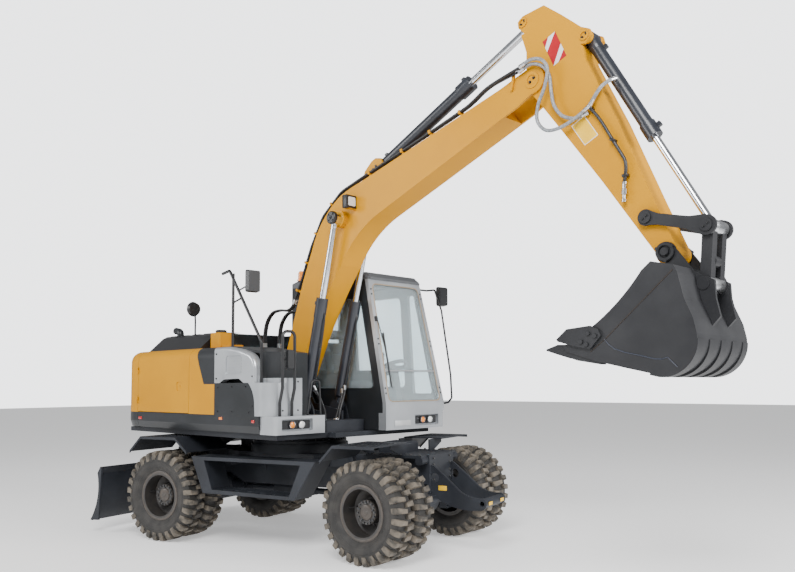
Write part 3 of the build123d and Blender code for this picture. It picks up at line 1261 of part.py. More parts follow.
boom_side = Vector(0, 1, 0)
ram("boom_cylinder", Vector(BOOM_CYLINDER_FOOT[0], BOOM_Y, BOOM_CYLINDER_FOOT[1]),
    Vector(BOOM_CYLINDER_EYE[0], BOOM_Y, BOOM_CYLINDER_EYE[1]), boom_side,
    (BOOM_CYLINDER_SPREAD, -BOOM_CYLINDER_SPREAD), (63.5, 69, 37, 75, BRACKET_EYE_HALF, 40, 1062, 1290, 640, 150, 1))
ram("arm_cylinder", Vector(ARM_CYLINDER_FOOT[0], BOOM_Y, ARM_CYLINDER_FOOT[1]),
    Vector(ARM_CYLINDER_EYE[0], BOOM_Y, ARM_CYLINDER_EYE[1]), boom_side, (0,),
    (67, 82, 38, 62, 69.7, 63.7, 1300, 1468, 1200, 600, 1))
ram("bucket_cylinder", Vector(BUCKET_CYLINDER_FOOT[0], BOOM_Y, BUCKET_CYLINDER_FOOT[1]),
    Vector(LINK_PIN[0], BOOM_Y, LINK_PIN[1]), boom_side, (0,), (59, 70, 32, 62, 63.7, 49.7, 1030, 1170, 1015, 180, 1))

# ---------------------------------------------------------------- arm, linkage, bucket
BUCKET_EAR_INNER = 140
EAR_INNER = 100              # the ears continue the arm's side plates
EAR_BOSS = 64                # bosses inside the ears reach in to the cylinder eyes
with BuildPart() as arm:
    with BuildSketch(side(BOOM_Y)):
        with BuildLine():
            Polyline((3600, 5120), (3655, 4940), (3651, 4755))
            ThreePointArc((3651, 4755), on_circle(BOOM_NOSE, 112, 200), on_circle(BOOM_NOSE, 112, 255))
            Polyline(on_circle(BOOM_NOSE, 112, 255), (3979, 4153), (4394, 3578), (4870, 2879))
            ThreePointArc((4870, 2879), (5000, 2787), (5040, 2920))
            Polyline((5040, 2920), (4867, 3324), (4551, 4093), (4265, 4703), (4240, 4830), (4120, 5010),
                     (3857, 5180), (3600, 5120))
        make_face()
    extrude(amount=ARM_HALF, both=True)
    for hand in (1, -1):
        with BuildSketch(side(BOOM_Y + hand * EAR_INNER)):
            with BuildLine():
                Polyline((3700, 5060), (3570, 5200), (3564, 5260), (3622, 5303), (3857, 5332), (4040, 5180),
                         (4240, 5000), (4320, 4960), (4337, 4900), (4266, 4840), (4150, 4850), close=True)
            make_face()
        extrude(amount=-hand * (ARM_HALF - EAR_INNER))
        with BuildSketch(side(BOOM_Y + hand * EAR_BOSS)):
            with Locations(ARM_CYLINDER_EYE, BUCKET_CYLINDER_FOOT):
                Circle(58)
        extrude(amount=-hand * (EAR_INNER - EAR_BOSS))
        with BuildSketch(side(BOOM_Y + hand * ARM_HALF)):
            with Locations(ARM_CYLINDER_EYE, BUCKET_CYLINDER_FOOT):
                Circle(46)
                Circle(30, mode=Mode.SUBTRACT)
        extrude(amount=-hand * 12)
    with BuildSketch(side(BOOM_Y)):
        with Locations(BUCKET_PIN):
            Circle(62)
    extrude(amount=BUCKET_EAR_INNER - FIT, both=True)
save(arm, "arm")

ROCKER_INNER = 150
ROCKER_PLATE = 26
ROCKER_WAIST = 46
H_HALF = BUCKET_EAR_INNER - FIT
with BuildPart() as rocker_links:
    for start in (BOOM_Y + ROCKER_INNER, BOOM_Y - ROCKER_INNER - ROCKER_PLATE):
        with BuildSketch(side(start + ROCKER_PLATE)):
            # two eyes joined by a waisted web, as a dog bone
            span = Vector(LINK_PIN[0] - ROCKER_PIN[0], LINK_PIN[1] - ROCKER_PIN[1])
            along = span.normalized()
            across = Vector(-along.Y, along.X)
            base = Vector(*ROCKER_PIN)
            corners = []
            for flip in (1, -1):
                stations = ((0, 66), (105, ROCKER_WAIST), (span.length - 150, ROCKER_WAIST + 6), (span.length - 20, 82))
                run = [base + along * reach + across * (flip * half) for reach, half in stations]
                corners += run if flip == 1 else run[::-1]
            with BuildLine():
                Polyline(*[(corner.X, corner.Y) for corner in corners], close=True)
            make_face()
            with Locations(ROCKER_PIN):
                Circle(68)
            with Locations(LINK_PIN):
                Circle(80)
        extrude(amount=ROCKER_PLATE)
    for hand in (1, -1):
        for pin, reach in ((ROCKER_PIN, ARM_HALF + FIT), (LINK_PIN, H_HALF + FIT)):
            with BuildSketch(side(BOOM_Y + hand * reach)):
                with Locations(pin):
                    Circle(50)
            extrude(amount=-hand * (ROCKER_INNER + ROCKER_PLATE + 14 - reach))
save(rocker_links, "rocker_links")

with BuildPart() as h_link:
    for start in (BOOM_Y + 50, BOOM_Y - H_HALF):
        with BuildSketch(side(start + H_HALF - 50)):
            with BuildLine():
                Polyline((LINK_PIN[0] - 44, LINK_PIN[1] + 4), (LINK_PIN[0] + 44, LINK_PIN[1] - 4),
                         (BUCKET_LINK_PIN[0] + 42, BUCKET_LINK_PIN[1] - 4),
                         (BUCKET_LINK_PIN[0] - 42, BUCKET_LINK_PIN[1] + 4), close=True)
            make_face()
            with Locations(LINK_PIN):
                Circle(56)
            with Locations(BUCKET_LINK_PIN):
                Circle(42)
        extrude(amount=H_HALF - 50)
    with BuildSketch(side(BOOM_Y)):
        with Locations((5280, 2780)):
            Circle(50)
    extrude(amount=60, both=True)
save(h_link, "h_link")

BUCKET_PLATE = 22
TEETH = 5
WEAR_STRIPS = 5
EAR_PLATE = 30
LIP = (4235, 2085)
with BuildPart() as bucket:
    with BuildSketch(side(BOOM_Y)):
        with BuildLine():
            Polyline((4992, 2763), (5174, 2719), (5202, 2659), (5248, 2457), (5312, 2304), (5336, 2191))
            ThreePointArc((5336, 2191), (5265, 1978), (5036, 1884))
            Polyline((5036, 1884), (4774, 1941), (4483, 2008), LIP, (4200, 2130))
            ThreePointArc((4200, 2130), (4610, 2382), (4915, 2700))
            Line((4915, 2700), (4992, 2763))
        make_face()
    extrude(amount=BUCKET_HALF, both=True)
    with BuildSketch(side(BOOM_Y)):
        with BuildLine():
            Polyline((4960, 2775), (4992, 2738), (5158, 2696), (5180, 2650), (5226, 2450), (5290, 2298), (5312, 2191))
            ThreePointArc((5312, 2191), (5248, 1996), (5038, 1910))
            Polyline((5038, 1910), (4780, 1965), (4490, 2034), (4245, 2118), (4150, 2250), (4700, 2800), (4960, 2775))
        make_face()
    extrude(amount=BUCKET_HALF - BUCKET_PLATE, both=True, mode=Mode.SUBTRACT)
    # ears: plates down the back, with a boss at each pin
    for hand in (1, -1):
        with BuildSketch(side(BOOM_Y + hand * BUCKET_EAR_INNER)):
            with BuildLine():
                Polyline((4900, 2842), (4930, 2940), (5010, 2950), (5190, 2700), (5350, 2616), (5356, 2473),
                         (5386, 2330), (5312, 2252), (5296, 2312), (5246, 2457), (5196, 2659), (5174, 2716),
                         (4992, 2760), close=True)
            make_face()
            with Locations(BUCKET_PIN):
                Circle(84)
        extrude(amount=-hand * EAR_PLATE)
        with BuildSketch(side(BOOM_Y + hand * (BUCKET_EAR_INNER + EAR_PLATE))):
            with Locations(BUCKET_PIN):
                Circle(72)
            with Locations(BUCKET_LINK_PIN):
                Circle(52)
        extrude(amount=-hand * 8)
        # cheek strip along the side's front edge and the bolted side cutter
        with BuildSketch(side(BOOM_Y + hand * BUCKET_HALF)):
            with BuildLine():
                Polyline((4155, 2191), (4254, 2273), (4467, 2291), (4540, 2262), (4567, 2208), (4468, 2102), (4344, 2124),
                         (4169, 2172), close=True)
            make_face()
        extrude(amount=-hand * 26)
        with BuildSketch(side(BOOM_Y + hand * (BUCKET_HALF + 26))):
            with Locations((4456, 2228), (4518, 2205), (4390, 2162), (4440, 2139)):
                RegularPolygon(19, 6)
        extrude(amount=-hand * 14)
    # teeth: a forked adapter round the lip and a tapered point on it
    pitch = (2 * BUCKET_HALF - 110) / (TEETH - 1)
    for tooth in range(TEETH):
        tooth_y = BOOM_Y + (tooth - (TEETH - 1) / 2) * pitch
        with BuildSketch(side(tooth_y)):
            with BuildLine():
                Polyline((4541, 1976), (4541, 2006), (4440, 2060), (4330, 2128), (4206, 2140), (4206, 2052),
                         (4330, 2012), close=True)
            make_face()
        extrude(amount=45, both=True)
        with BuildSketch(side(tooth_y)):
            with BuildLine():
                Polyline((4260, 2030), (4260, 2146), (4140, 2150), (4028, 2114), (4026, 2102), (4140, 2066), close=True)
            make_face()
        extrude(amount=34, both=True)
    # wear strips round the heel
    strip_pitch = (2 * BUCKET_HALF - 110) / (WEAR_STRIPS - 1)
    for strip in range(WEAR_STRIPS):
        with BuildSketch(side(BOOM_Y + (strip - (WEAR_STRIPS - 1) / 2) * strip_pitch)):
            with BuildLine():
                Line((5330, 2150), (5343, 2152))
                ThreePointArc((5343, 2152), (5273, 1966), (5034, 1869))
                Polyline((5034, 1869), (4960, 1886), (4962, 1904), (5034, 1886))
                ThreePointArc((5034, 1886), (5262, 1978), (5330, 2150))
            make_face()
        extrude(amount=55, both=True)
save(bucket, "bucket")
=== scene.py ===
import json
import math

import bmesh
import bpy
from mathutils import Matrix, Vector


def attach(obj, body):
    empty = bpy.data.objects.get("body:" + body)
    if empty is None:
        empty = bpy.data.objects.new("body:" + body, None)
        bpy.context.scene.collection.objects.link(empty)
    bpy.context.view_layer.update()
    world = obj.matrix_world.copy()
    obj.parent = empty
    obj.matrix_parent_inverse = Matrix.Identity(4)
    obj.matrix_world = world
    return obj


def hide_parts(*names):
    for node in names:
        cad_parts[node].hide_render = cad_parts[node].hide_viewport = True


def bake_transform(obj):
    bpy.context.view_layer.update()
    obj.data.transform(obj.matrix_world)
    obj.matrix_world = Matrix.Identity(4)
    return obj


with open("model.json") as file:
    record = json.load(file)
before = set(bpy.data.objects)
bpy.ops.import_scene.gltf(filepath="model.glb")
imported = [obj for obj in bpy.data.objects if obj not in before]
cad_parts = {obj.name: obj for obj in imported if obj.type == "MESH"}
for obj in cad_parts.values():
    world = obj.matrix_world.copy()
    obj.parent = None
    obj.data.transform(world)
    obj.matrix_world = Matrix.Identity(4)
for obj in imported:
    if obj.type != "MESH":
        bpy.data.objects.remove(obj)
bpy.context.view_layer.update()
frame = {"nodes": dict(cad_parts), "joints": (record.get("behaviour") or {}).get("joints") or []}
joint_of = {joint["name"]: joint for joint in frame["joints"]}

# ---- Camera: level with the operator's seat, ahead of the machine and to its right, looking back at it
# through a normal lens whose axis is shifted a little, as the frame was cut.
SENSOR = 36
WIDE, HIGH, FOCAL = 795, 572, 797.08
AXIS_X, AXIS_Y = 390.05, 318.3


def placed(name, data):
    """A new object with this data, linked into the scene."""
    thing = bpy.data.objects.new(name, data)
    bpy.context.scene.collection.objects.link(thing)
    return thing


camera_data = bpy.data.cameras.new("camera")
camera_data.sensor_width = SENSOR
camera_data.lens = FOCAL / WIDE * SENSOR
camera_data.shift_x = (WIDE / 2 - AXIS_X) / WIDE
camera_data.shift_y = (AXIS_Y - HIGH / 2) / WIDE
camera_data.clip_start = 0.1
camera_data.clip_end = 200
camera = placed("camera", camera_data)
turn, pitch, roll = math.radians(43.762), math.radians(4.684), math.radians(-0.338)
look = Vector((-math.sin(turn) * math.cos(pitch), math.cos(turn) * math.cos(pitch), math.sin(pitch)))
level_right = Vector((math.cos(turn), math.sin(turn), 0))
level_up = level_right.cross(look)
right = level_right * math.cos(roll) + level_up * math.sin(roll)
up = level_up * math.cos(roll) - level_right * math.sin(roll)
place = Matrix((right, up, -look)).transposed().to_4x4()
place.translation = Vector((7.7577, -6.4634, 1.8325))
camera.matrix_world = place
bpy.context.scene.camera = camera

# ---- Studio: a pale floor that runs out to a pale world, with soft lamps to the right, left and front.
# They are stage and light only, and no part of the machine.


def dial(node, settings):
    """Sets a node's inputs by their labels."""
    for label, value in settings.items():
        node.inputs[label].default_value = value


def wire(tree, *runs):
    """Links nodes in runs of (node, its output, next node, its input)."""
    for source, leaves, target, enters in runs:
        tree.links.new(source.outputs[leaves], target.inputs[enters])


def aimed(direction, spot):
    """A local frame at a spot, with its Z along a direction."""
    return Matrix.Translation(spot) @ Vector(direction).to_track_quat("Z", "Y").to_matrix().to_4x4()


floor_mesh = bpy.data.meshes.new("floor")
floor_mesh.from_pydata([(-60, -60, 0), (60, -60, 0), (60, 60, 0), (-60, 60, 0)], [], [(0, 1, 2, 3)])
floor = placed("floor", floor_mesh)
floor_paint = bpy.data.materials.new("studio_floor")
floor_paint.use_nodes = True
dial(floor_paint.node_tree.nodes["Principled BSDF"], {
    "Base Color": (0.93, 0.93, 0.93, 1), "Roughness": 0.8,
    "Emission Color": (1, 1, 1, 1), "Emission Strength": 0.4})
floor_mesh.materials.append(floor_paint)
world = bpy.data.worlds.new("studio")
world.use_nodes = True
backdrop, make = world.node_tree.nodes["Background"], world.node_tree.nodes.new
seen, either, brightness = make("ShaderNodeLightPath"), make("ShaderNodeMath"), make("ShaderNodeMapRange")
either.operation = "MAXIMUM"
dial(backdrop, {"Color": (0.97, 0.98, 1.0, 1)})
dial(brightness, {"To Min": 0.34, "To Max": 3.2})
wire(world.node_tree,
     (seen, "Is Camera Ray", either, 0), (seen, "Is Transmission Ray", either, 1),
     (either, "Value", brightness, "Value"), (brightness, "Result", backdrop, "Strength"))
bpy.context.scene.world = world
LIT = Vector((0, 0, 1.5))
for name, spot, power in (("key", (7, -8, 9), 1500), ("side", (-6, -10, 6), 650),
        ("front", (13, 3, 6), 1500)):
    lamp_data = bpy.data.lights.new(name, "AREA")
    lamp_data.size = 5
    lamp_data.energy = power
    placed(name, lamp_data).matrix_world = aimed(Vector(spot) - LIT, spot)

# ---- Yellow panels: counterweight, engine doors, tank cover, boom and arm. Cast iron and welded steel
# plate, primed and sprayed in one warm yellow that shines a little and shows faint orange peel.


def finish(name, colour, fleck, roughness, scale=3.0, metallic=0.0, coat=0.0, grain=260.0, bump=0.03,
        specular=0.5):
    """A procedural finish: two close shades in soft clouds, uneven gloss and a fine grain in the surface."""
    material = bpy.data.materials.new(name)
    material.use_nodes = True
    nodes = material.node_tree.nodes
    shader = nodes["Principled BSDF"]
    where, clouds, shades, gloss, fine, relief = (nodes.new(kind) for kind in (
        "ShaderNodeTexCoord", "ShaderNodeTexNoise", "ShaderNodeValToRGB", "ShaderNodeMapRange",
        "ShaderNodeTexNoise", "ShaderNodeBump"))
    for element, position, shade in zip(shades.color_ramp.elements, (0.38, 0.62), (fleck, colour)):
        element.position, element.color = position, (*shade, 1)
    dial(shader, {"Metallic": metallic, "Specular IOR Level": specular})
    dial(shader, {"Coat Weight": coat, "Coat Roughness": 0.12})
    dial(clouds, {"Scale": scale, "Detail": 6})
    dial(gloss, {"To Min": roughness * 0.8, "To Max": min(1.0, roughness * 1.25)})
    dial(fine, {"Scale": grain, "Detail": 3})
    dial(relief, {"Strength": bump, "Distance": 0.002})
    wire(material.node_tree, (where, "Object", clouds, "Vector"), (where, "Object", fine, "Vector"),
        (clouds, "Fac", shades, "Fac"), (clouds, "Fac", gloss, "Value"),
        (shades, "Color", shader, "Base Color"), (gloss, "Result", shader, "Roughness"),
        (fine, "Fac", relief, "Height"), (relief, "Normal", shader, "Normal"))
    return material


def dress(material, *names):
    """Gives the CAD nodes their finish."""
    for name in names:
        data = frame["nodes"][name].data
        data.materials.clear()
        data.materials.append(material)


yellow = finish("yellow_paint", (0.6, 0.27, 0.0), (0.56, 0.246, 0.0), 0.42, 1.6, coat=0.04, specular=0.18)
dress(yellow, "counterweight", "engine_door_right", "engine_door_left", "tank_panel", "boom", "arm")

# ---- Dark panels: skirts, lower side panel, cab shell, door and roof, all pressed steel in charcoal
# paint, and the hood, a moulded cover with a smooth black gloss.
charcoal = finish("charcoal_paint", (0.022, 0.024, 0.027), (0.016, 0.018, 0.02), 0.36, 2.0, coat=0.12,
    specular=0.3)
dress(charcoal, "skirts", "lower_panel", "cab_shell", "cab_door", "exhaust")
hood_black = finish("hood_black", (0.012, 0.0125, 0.014), (0.008, 0.0085, 0.01), 0.36, 2.2, coat=0.1,
    grain=420, bump=0.015)
dress(hood_black, "engine_hood")
# The roof is the same charcoal paint; its lighter grey is painted sheen of the light falling on its top.
roof_painted_sheen = finish("roof_painted_sheen", (0.1, 0.105, 0.112), (0.082, 0.086, 0.094), 0.42, 2.4, coat=0.2)
dress(roof_painted_sheen, "cab_roof")

# ---- Silver covers: cheek, step box, front boxes and the frame round the windscreen. Sheet steel in a
# pale metallic paint with a fine sparkle.
silver = finish("silver_paint", (0.5, 0.52, 0.54), (0.42, 0.44, 0.465), 0.3, 2.0, metallic=0.55, coat=0.4,
    grain=700, bump=0.02)
dress(silver, "cheek", "step_box", "front_boxes", "cab_front")

# ---- Undercarriage: welded girder frame, axle housings, knuckles, fenders and steps in blue-black
# chassis paint, satin.
chassis_black = finish("chassis_black", (0.026, 0.029, 0.036), (0.017, 0.019, 0.024), 0.5, 2.6, coat=0.05,
    grain=180, bump=0.05, specular=0.3)
dress(chassis_black, "chassis_frame", "slew_ring", "rear_axle", "front_axle", "drive_line", "fenders",
    "side_steps", "front_bracket", "knuckle_right", "knuckle_left", "dozer_blade", "platform_frame",
    "house_frame")
cast_grey = finish("cast_grey", (0.16, 0.16, 0.165), (0.11, 0.11, 0.115), 0.62, 7.0, metallic=0.3, grain=90,
    bump=0.25)
dress(cast_grey, "engine_block")

# ---- Cylinders: honed barrels in black paint, and rods of ground steel under hard chrome. The rods
# mirror the sky and carry faint marks along their length.
barrel_black = finish("barrel_black", (0.02, 0.023, 0.031), (0.014, 0.016, 0.022), 0.36, 4.0, coat=0.2)
chrome = finish("hard_chrome", (0.8, 0.82, 0.85), (0.7, 0.72, 0.76), 0.14, 9.0, metallic=1.0, grain=60,
    bump=0.002)
for cylinder in ("blade", "boom", "arm", "bucket"):
    dress(barrel_black, cylinder + "_cylinder_barrel")
    dress(chrome, cylinder + "_cylinder_rod")
dress(chrome, "steering_rod")

# ---- Bucket, rocker and link: abrasion-resistant plate and castings in matt black.
bucket_black = finish("bucket_black", (0.026, 0.0265, 0.029), (0.017, 0.0175, 0.02), 0.46, 2.4, grain=150,
    bump=0.06, specular=0.3)
dress(bucket_black, "bucket", "rocker_links", "h_link")

# ---- Plastics and glass: tank and console in grained black, rails and mirror arms in black powder coat,
# and panes of tinted safety glass.
grained = finish("grained_black", (0.016, 0.0165, 0.018), (0.011, 0.0115, 0.013), 0.58, 5.0, grain=900,
    bump=0.18)
dress(grained, "tank", "console")
powder = finish("powder_black", (0.013, 0.0135, 0.015), (0.009, 0.0095, 0.011), 0.4, 6.0, coat=0.1,
    grain=800, bump=0.05)
dress(powder, "handrails", "cab_mirror")
glass = finish("safety_glass", (0.8, 0.88, 0.9), (0.74, 0.84, 0.87), 0.045, 1.2, grain=3.0, bump=0.006)
dial(glass.node_tree.nodes["Principled BSDF"], {"Transmission Weight": 0.82, "IOR": 1.45})
dress(glass, "cab_glass", "door_glass")
lamp_glass = finish("lamp_glass", (0.9, 0.9, 0.86), (0.78, 0.8, 0.8), 0.08, 30.0, coat=0.8, grain=160,
    bump=0.4)
dress(powder, "lamps")
amber = finish("amber_lens", (0.95, 0.3, 0.012), (0.85, 0.22, 0.008), 0.16, 24.0, coat=0.7, grain=120,
    bump=0.35)
dress(amber, "beacon")

# ---- Tyres: cross-ply rock tyres, two to a wheel. Black moulded rubber with a ribbed side wall and heavy
# blocks that wrap over the shoulder; the blocks are dry and dusty where they meet the ground.
rubber = finish("tyre_rubber", (0.02, 0.019, 0.018), (0.034, 0.031, 0.028), 0.62, 9.0, grain=240, bump=0.2)
tread_rubber = finish("tread_rubber", (0.055, 0.05, 0.043), (0.16, 0.135, 0.105), 0.78, 11.0, grain=120,
    bump=0.35)
TWIN_PITCH = 0.33
BLOCKS = 28
WHEELS = (("front_right", -1), ("front_left", 1), ("rear_right", -1), ("rear_left", 1))


def into_mesh(name, bm, materials, body, smooth_angle=None):
    """Closes a bmesh into a finished piece, which rides on its body if it has only one."""
    bmesh.ops.recalc_face_normals(bm, faces=bm.faces)
    data = bpy.data.meshes.new(name)
    bm.to_mesh(data)
    bm.free()
    for material in materials:
        data.materials.append(material)
    if smooth_angle:
        data.shade_smooth()
        data.set_sharp_from_angle(angle=math.radians(smooth_angle))
    piece = placed(name, data)
    if body:
        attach(piece, body)
    return piece


def circle(count, radius, first=0.0):
    """Evenly spaced (x, y) on a circle; first is the first one's turn, in spaces."""
    turns = [2 * math.pi * (number + first) / count for number in range(count)]
    return [(radius * math.cos(turn), radius * math.sin(turn)) for turn in turns]


def spin(bm, points, count, place, material=0):
    """Turns a profile of (along, radius) about local Z: a ring, or a solid if it starts on the axis."""
    solid = points[0][1] == 0
    poles = [bm.verts.new(place @ Vector((0, 0, points[k][0]))) for k in ((0, -1) if solid else ())]
    rim = points[1:-1] if solid else points
    rings = [[bm.verts.new(place @ Vector((r * x, r * y, z))) for z, r in rim] for x, y in circle(count, 1)]
    for here, there in zip(rings, rings[1:] + rings[:1]):
        faces = [(here[k - 1], there[k - 1], there[k], here[k]) for k in range(int(solid), len(rim))]
        if solid:
            faces += [(poles[0], here[0], there[0]), (poles[1], there[-1], here[-1])]
        for face in faces:
            bm.faces.new(face).material_index = material


def wheel_matrix(wheel, hand):
    """Local frame of a wheel: Z runs outward along its axle from the middle of the outer tyre."""
    joint = joint_of["spin_" + wheel]
    return aimed(Vector(joint["axis"]) * hand, joint["pos_m"])


# side wall from bead to crown: distance from the tyre's middle, radius
CARCASS = [(0.084, 0.2553), (0.092, 0.288), (0.104, 0.3), (0.122, 0.322), (0.134, 0.352), (0.1385, 0.385),
    (0.136, 0.415), (0.128, 0.445), (0.116, 0.47), (0.1, 0.486), (0.06, 0.492), (0.0, 0.494)]
# a block's stations: across the tread, outer radius, root radius, half width
BLOCK = ((0.004, 0.5275, 0.486, 0.024), (0.07, 0.5275, 0.484, 0.027), (0.11, 0.524, 0.476, 0.032),
    (0.131, 0.5, 0.455, 0.031), (0.1378, 0.456, 0.425, 0.025))
SLANT, TAPER, RIB = 0.016, 0.86, 0.004
for wheel, hand in WHEELS:
    bm = bmesh.new()
    for shift in (0, -TWIN_PITCH):
        twin = Matrix.Translation((0, 0, shift))
        spin(bm, CARCASS + [(-z, r) for z, r in CARCASS[-2::-1]], 84, twin)
        for side in (1, -1):
            for rib, bulge in ((0.33, 0.1275), (0.352, 0.13542), (0.405, 0.1405)):
                foot = side * (bulge - RIB)
                spin(bm, [(foot, rib - RIB), (side * bulge, rib), (foot, rib + RIB)], 84, twin)
            for number in range(BLOCKS):
                turned = 2 * math.pi * (number + (0.5 if side > 0 else 0)) / BLOCKS
                rows = []
                for across, outer, root, half in BLOCK:
                    lean = SLANT * across / 0.138
                    corners = []
                    for radius, edge in ((root, -half), (outer, -half * TAPER), (outer, half * TAPER),
                            (root, half)):
                        a = turned + (edge + lean) / radius
                        corners.append(bm.verts.new((radius * math.cos(a), radius * math.sin(a),
                            side * across + shift)))
                    rows.append(corners)
                walls = [rows[0], rows[-1][::-1]]
                for one, two in zip(rows, rows[1:]):
                    walls += [(one[k - 1], two[k - 1], two[k], one[k]) for k in range(4)]
                for wall in walls:
                    bm.faces.new(wall).material_index = 1
    bmesh.ops.transform(bm, matrix=wheel_matrix(wheel, hand), verts=bm.verts)
    tyres = into_mesh("dressed_tyres_" + wheel, bm, (rubber, tread_rubber), "wheel_" + wheel, 35)
    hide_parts("tyres_" + wheel)

# ---- Rims and hubs: three-piece steel rims in dull black, a brown-black planetary hub with its bolted
# cover, ten wheel nuts in the dish and two long valve stems that reach out past the inner tyre.
rim_black = finish("rim_black", (0.03, 0.028, 0.027), (0.045, 0.04, 0.036), 0.5, 8.0, coat=0.1, grain=140,
    bump=0.12)
hub_brown = finish("hub_brown", (0.075, 0.06, 0.048), (0.05, 0.042, 0.036), 0.46, 10.0, coat=0.15,
    grain=120, bump=0.15)
bolt_steel = finish("bolt_steel", (0.055, 0.056, 0.06), (0.1, 0.1, 0.1), 0.4, 60.0, metallic=0.6, grain=300,
    bump=0.05)
for wheel, hand in WHEELS:
    dress(rim_black, "rims_" + wheel)


def bolt_tree():
    """Geometry Nodes: a hexagon head on a round washer at every point, along the point's 'facing'."""
    tree = bpy.data.node_groups.new("bolt_rows", "GeometryNodeTree")
    for label, kind in (("Geometry", "Geometry"), ("Head radius", "Float"), ("Head height", "Float"),
            ("Washer radius", "Float"), ("Material", "Material")):
        tree.interface.new_socket(label, in_out="INPUT", socket_type="NodeSocket" + kind)
    tree.interface.new_socket("Geometry", in_out="OUTPUT", socket_type="NodeSocketGeometry")
    given, out, head, washer, lift, half, stack, both, facing, aim, rows, real, coat = (
        tree.nodes.new(kind) for kind in (
            "NodeGroupInput", "NodeGroupOutput", "GeometryNodeMeshCylinder", "GeometryNodeMeshCylinder",
            "GeometryNodeTransform", "ShaderNodeMath", "ShaderNodeCombineXYZ", "GeometryNodeJoinGeometry",
            "GeometryNodeInputNamedAttribute", "FunctionNodeAlignRotationToVector",
            "GeometryNodeInstanceOnPoints", "GeometryNodeRealizeInstances", "GeometryNodeSetMaterial"))
    dial(head, {"Vertices": 6})
    dial(washer, {"Vertices": 16, "Depth": 0.003})
    half.operation = "MULTIPLY_ADD"
    dial(half, {1: 0.5, 2: 0.0025})
    facing.data_type = "FLOAT_VECTOR"
    dial(facing, {"Name": "facing"})
    aim.axis = "Z"
    wire(tree,
         (given, "Head radius", head, "Radius"), (given, "Head height", head, "Depth"),
         (given, "Washer radius", washer, "Radius"), (given, "Head height", half, 0), (half, 0, stack, "Z"),
         (head, "Mesh", lift, "Geometry"), (stack, "Vector", lift, "Translation"),
         (lift, "Geometry", both, "Geometry"), (washer, "Mesh", both, "Geometry"),
         (facing, "Attribute", aim, "Vector"), (given, "Geometry", rows, "Points"),
         (both, "Geometry", rows, "Instance"), (aim, "Rotation", rows, "Rotation"),
         (rows, "Instances", real, "Geometry"), (real, "Geometry", coat, "Geometry"),
         (given, "Material", coat, "Material"), (coat, "Geometry", out, "Geometry"))
    return tree


bolt_rows = bolt_tree()


def baked(thing, keep=False):
    """The mesh that an object's curve or modifiers come to."""
    bpy.context.view_layer.update()
    made = bpy.data.meshes.new_from_object(thing.evaluated_get(bpy.context.evaluated_depsgraph_get()))
    if not keep:
        bpy.data.objects.remove(thing)
    return made


def bolts(name, body, spots, radius, height, material=bolt_steel):
    """Bolt heads at (point, facing) spots, as one mesh on one body."""
    points = bpy.data.meshes.new(name)
    points.from_pydata([spot for spot, facing in spots], [], [])
    attribute = points.attributes.new("facing", "FLOAT_VECTOR", "POINT")
    attribute.data.foreach_set("vector", [value for spot, facing in spots for value in facing])
    holder = placed(name + "_points", points)
    modifier = holder.modifiers.new("rows", "NODES")
    modifier.node_group = bolt_rows
    inputs = [socket for socket in bolt_rows.interface.items_tree if socket.in_out == "INPUT"]
    for socket, value in zip(inputs[1:], (radius, height, radius * 1.35, material)):
        modifier[socket.identifier] = value
    made = baked(holder)
    made.name = name
    made.materials.clear()
    made.materials.append(material)
    made.polygons.foreach_set("material_index", [0] * len(made.polygons))
    piece = placed(name, made)
    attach(piece, body)
    return piece


def pipe_mesh(name, runs, radius, material, body, bend=False, sides=8):
    """Round pipes along runs of points as one mesh; bend rounds their corners."""
    curve = bpy.data.curves.new(name, "CURVE")
    curve.dimensions = "3D"
    curve.bevel_depth = radius
    curve.bevel_resolution = sides // 4
    curve.use_fill_caps = True
    curve.resolution_u = 8
    for run in runs:
        spline = curve.splines.new("NURBS" if bend else "POLY")
        spline.points.add(len(run) - 1)
        for point, spot in zip(spline.points, run):
            point.co = (*spot, 1)
        if bend:
            spline.order_u = 3
            spline.use_endpoint_u = True
    bm = bmesh.new()
    bm.from_mesh(baked(placed(name + "_curve", curve)))
    bmesh.ops.remove_doubles(bm, verts=bm.verts, dist=1e-5)
    return into_mesh(name, bm, (material,), body, 40)


NUT, COVER, SLEEVE = (10, 0.15, -0.149), (5, 0.092, 0.0105), (16, 0.111, 0.0105)
for wheel, hand in WHEELS:
    local = wheel_matrix(wheel, hand)
    outward = local.to_3x3() @ Vector((0, 0, 1))
    spots = [(local @ Vector((x, y, height)), outward) for count, radius, height in (NUT, COVER, SLEEVE)
        for x, y in circle(count, radius, 0.25)]
    bolts("wheel_nuts_" + wheel, "wheel_" + wheel, spots, 0.0105, 0.012)
    bm = bmesh.new()
    spin(bm, [(-0.01, 0), (-0.01, 0.123), (0.0095, 0.123), (0.0098, 0.12), (0.0098, 0.08), (0.02, 0.074),
        (0.026, 0.06), (0.026, 0.028), (0.03, 0.024), (0.03, 0)], 48, local)
    lip = 0.2885
    for low, high in ((0.086, 0.0995), (-0.244, -0.2305)):
        spin(bm, [(low, lip), (low, lip - 0.03), (high - 0.004, lip - 0.03), (high, lip - 0.024),
            (high, lip - 0.006), (high - 0.004, lip)], 72, local)
    into_mesh("hub_cover_" + wheel, bm, (hub_brown,), "wheel_" + wheel, 35)
    stems = [[local @ Vector((x * side, 0.03, z))
        for x, z in ((0.205, -0.148), (0.205, -0.05), (0.225, 0.02))] for side in (1, -1)]
    pipe_mesh("valve_stems_" + wheel, stems, 0.005, bolt_steel, "wheel_" + wheel, bend=True)

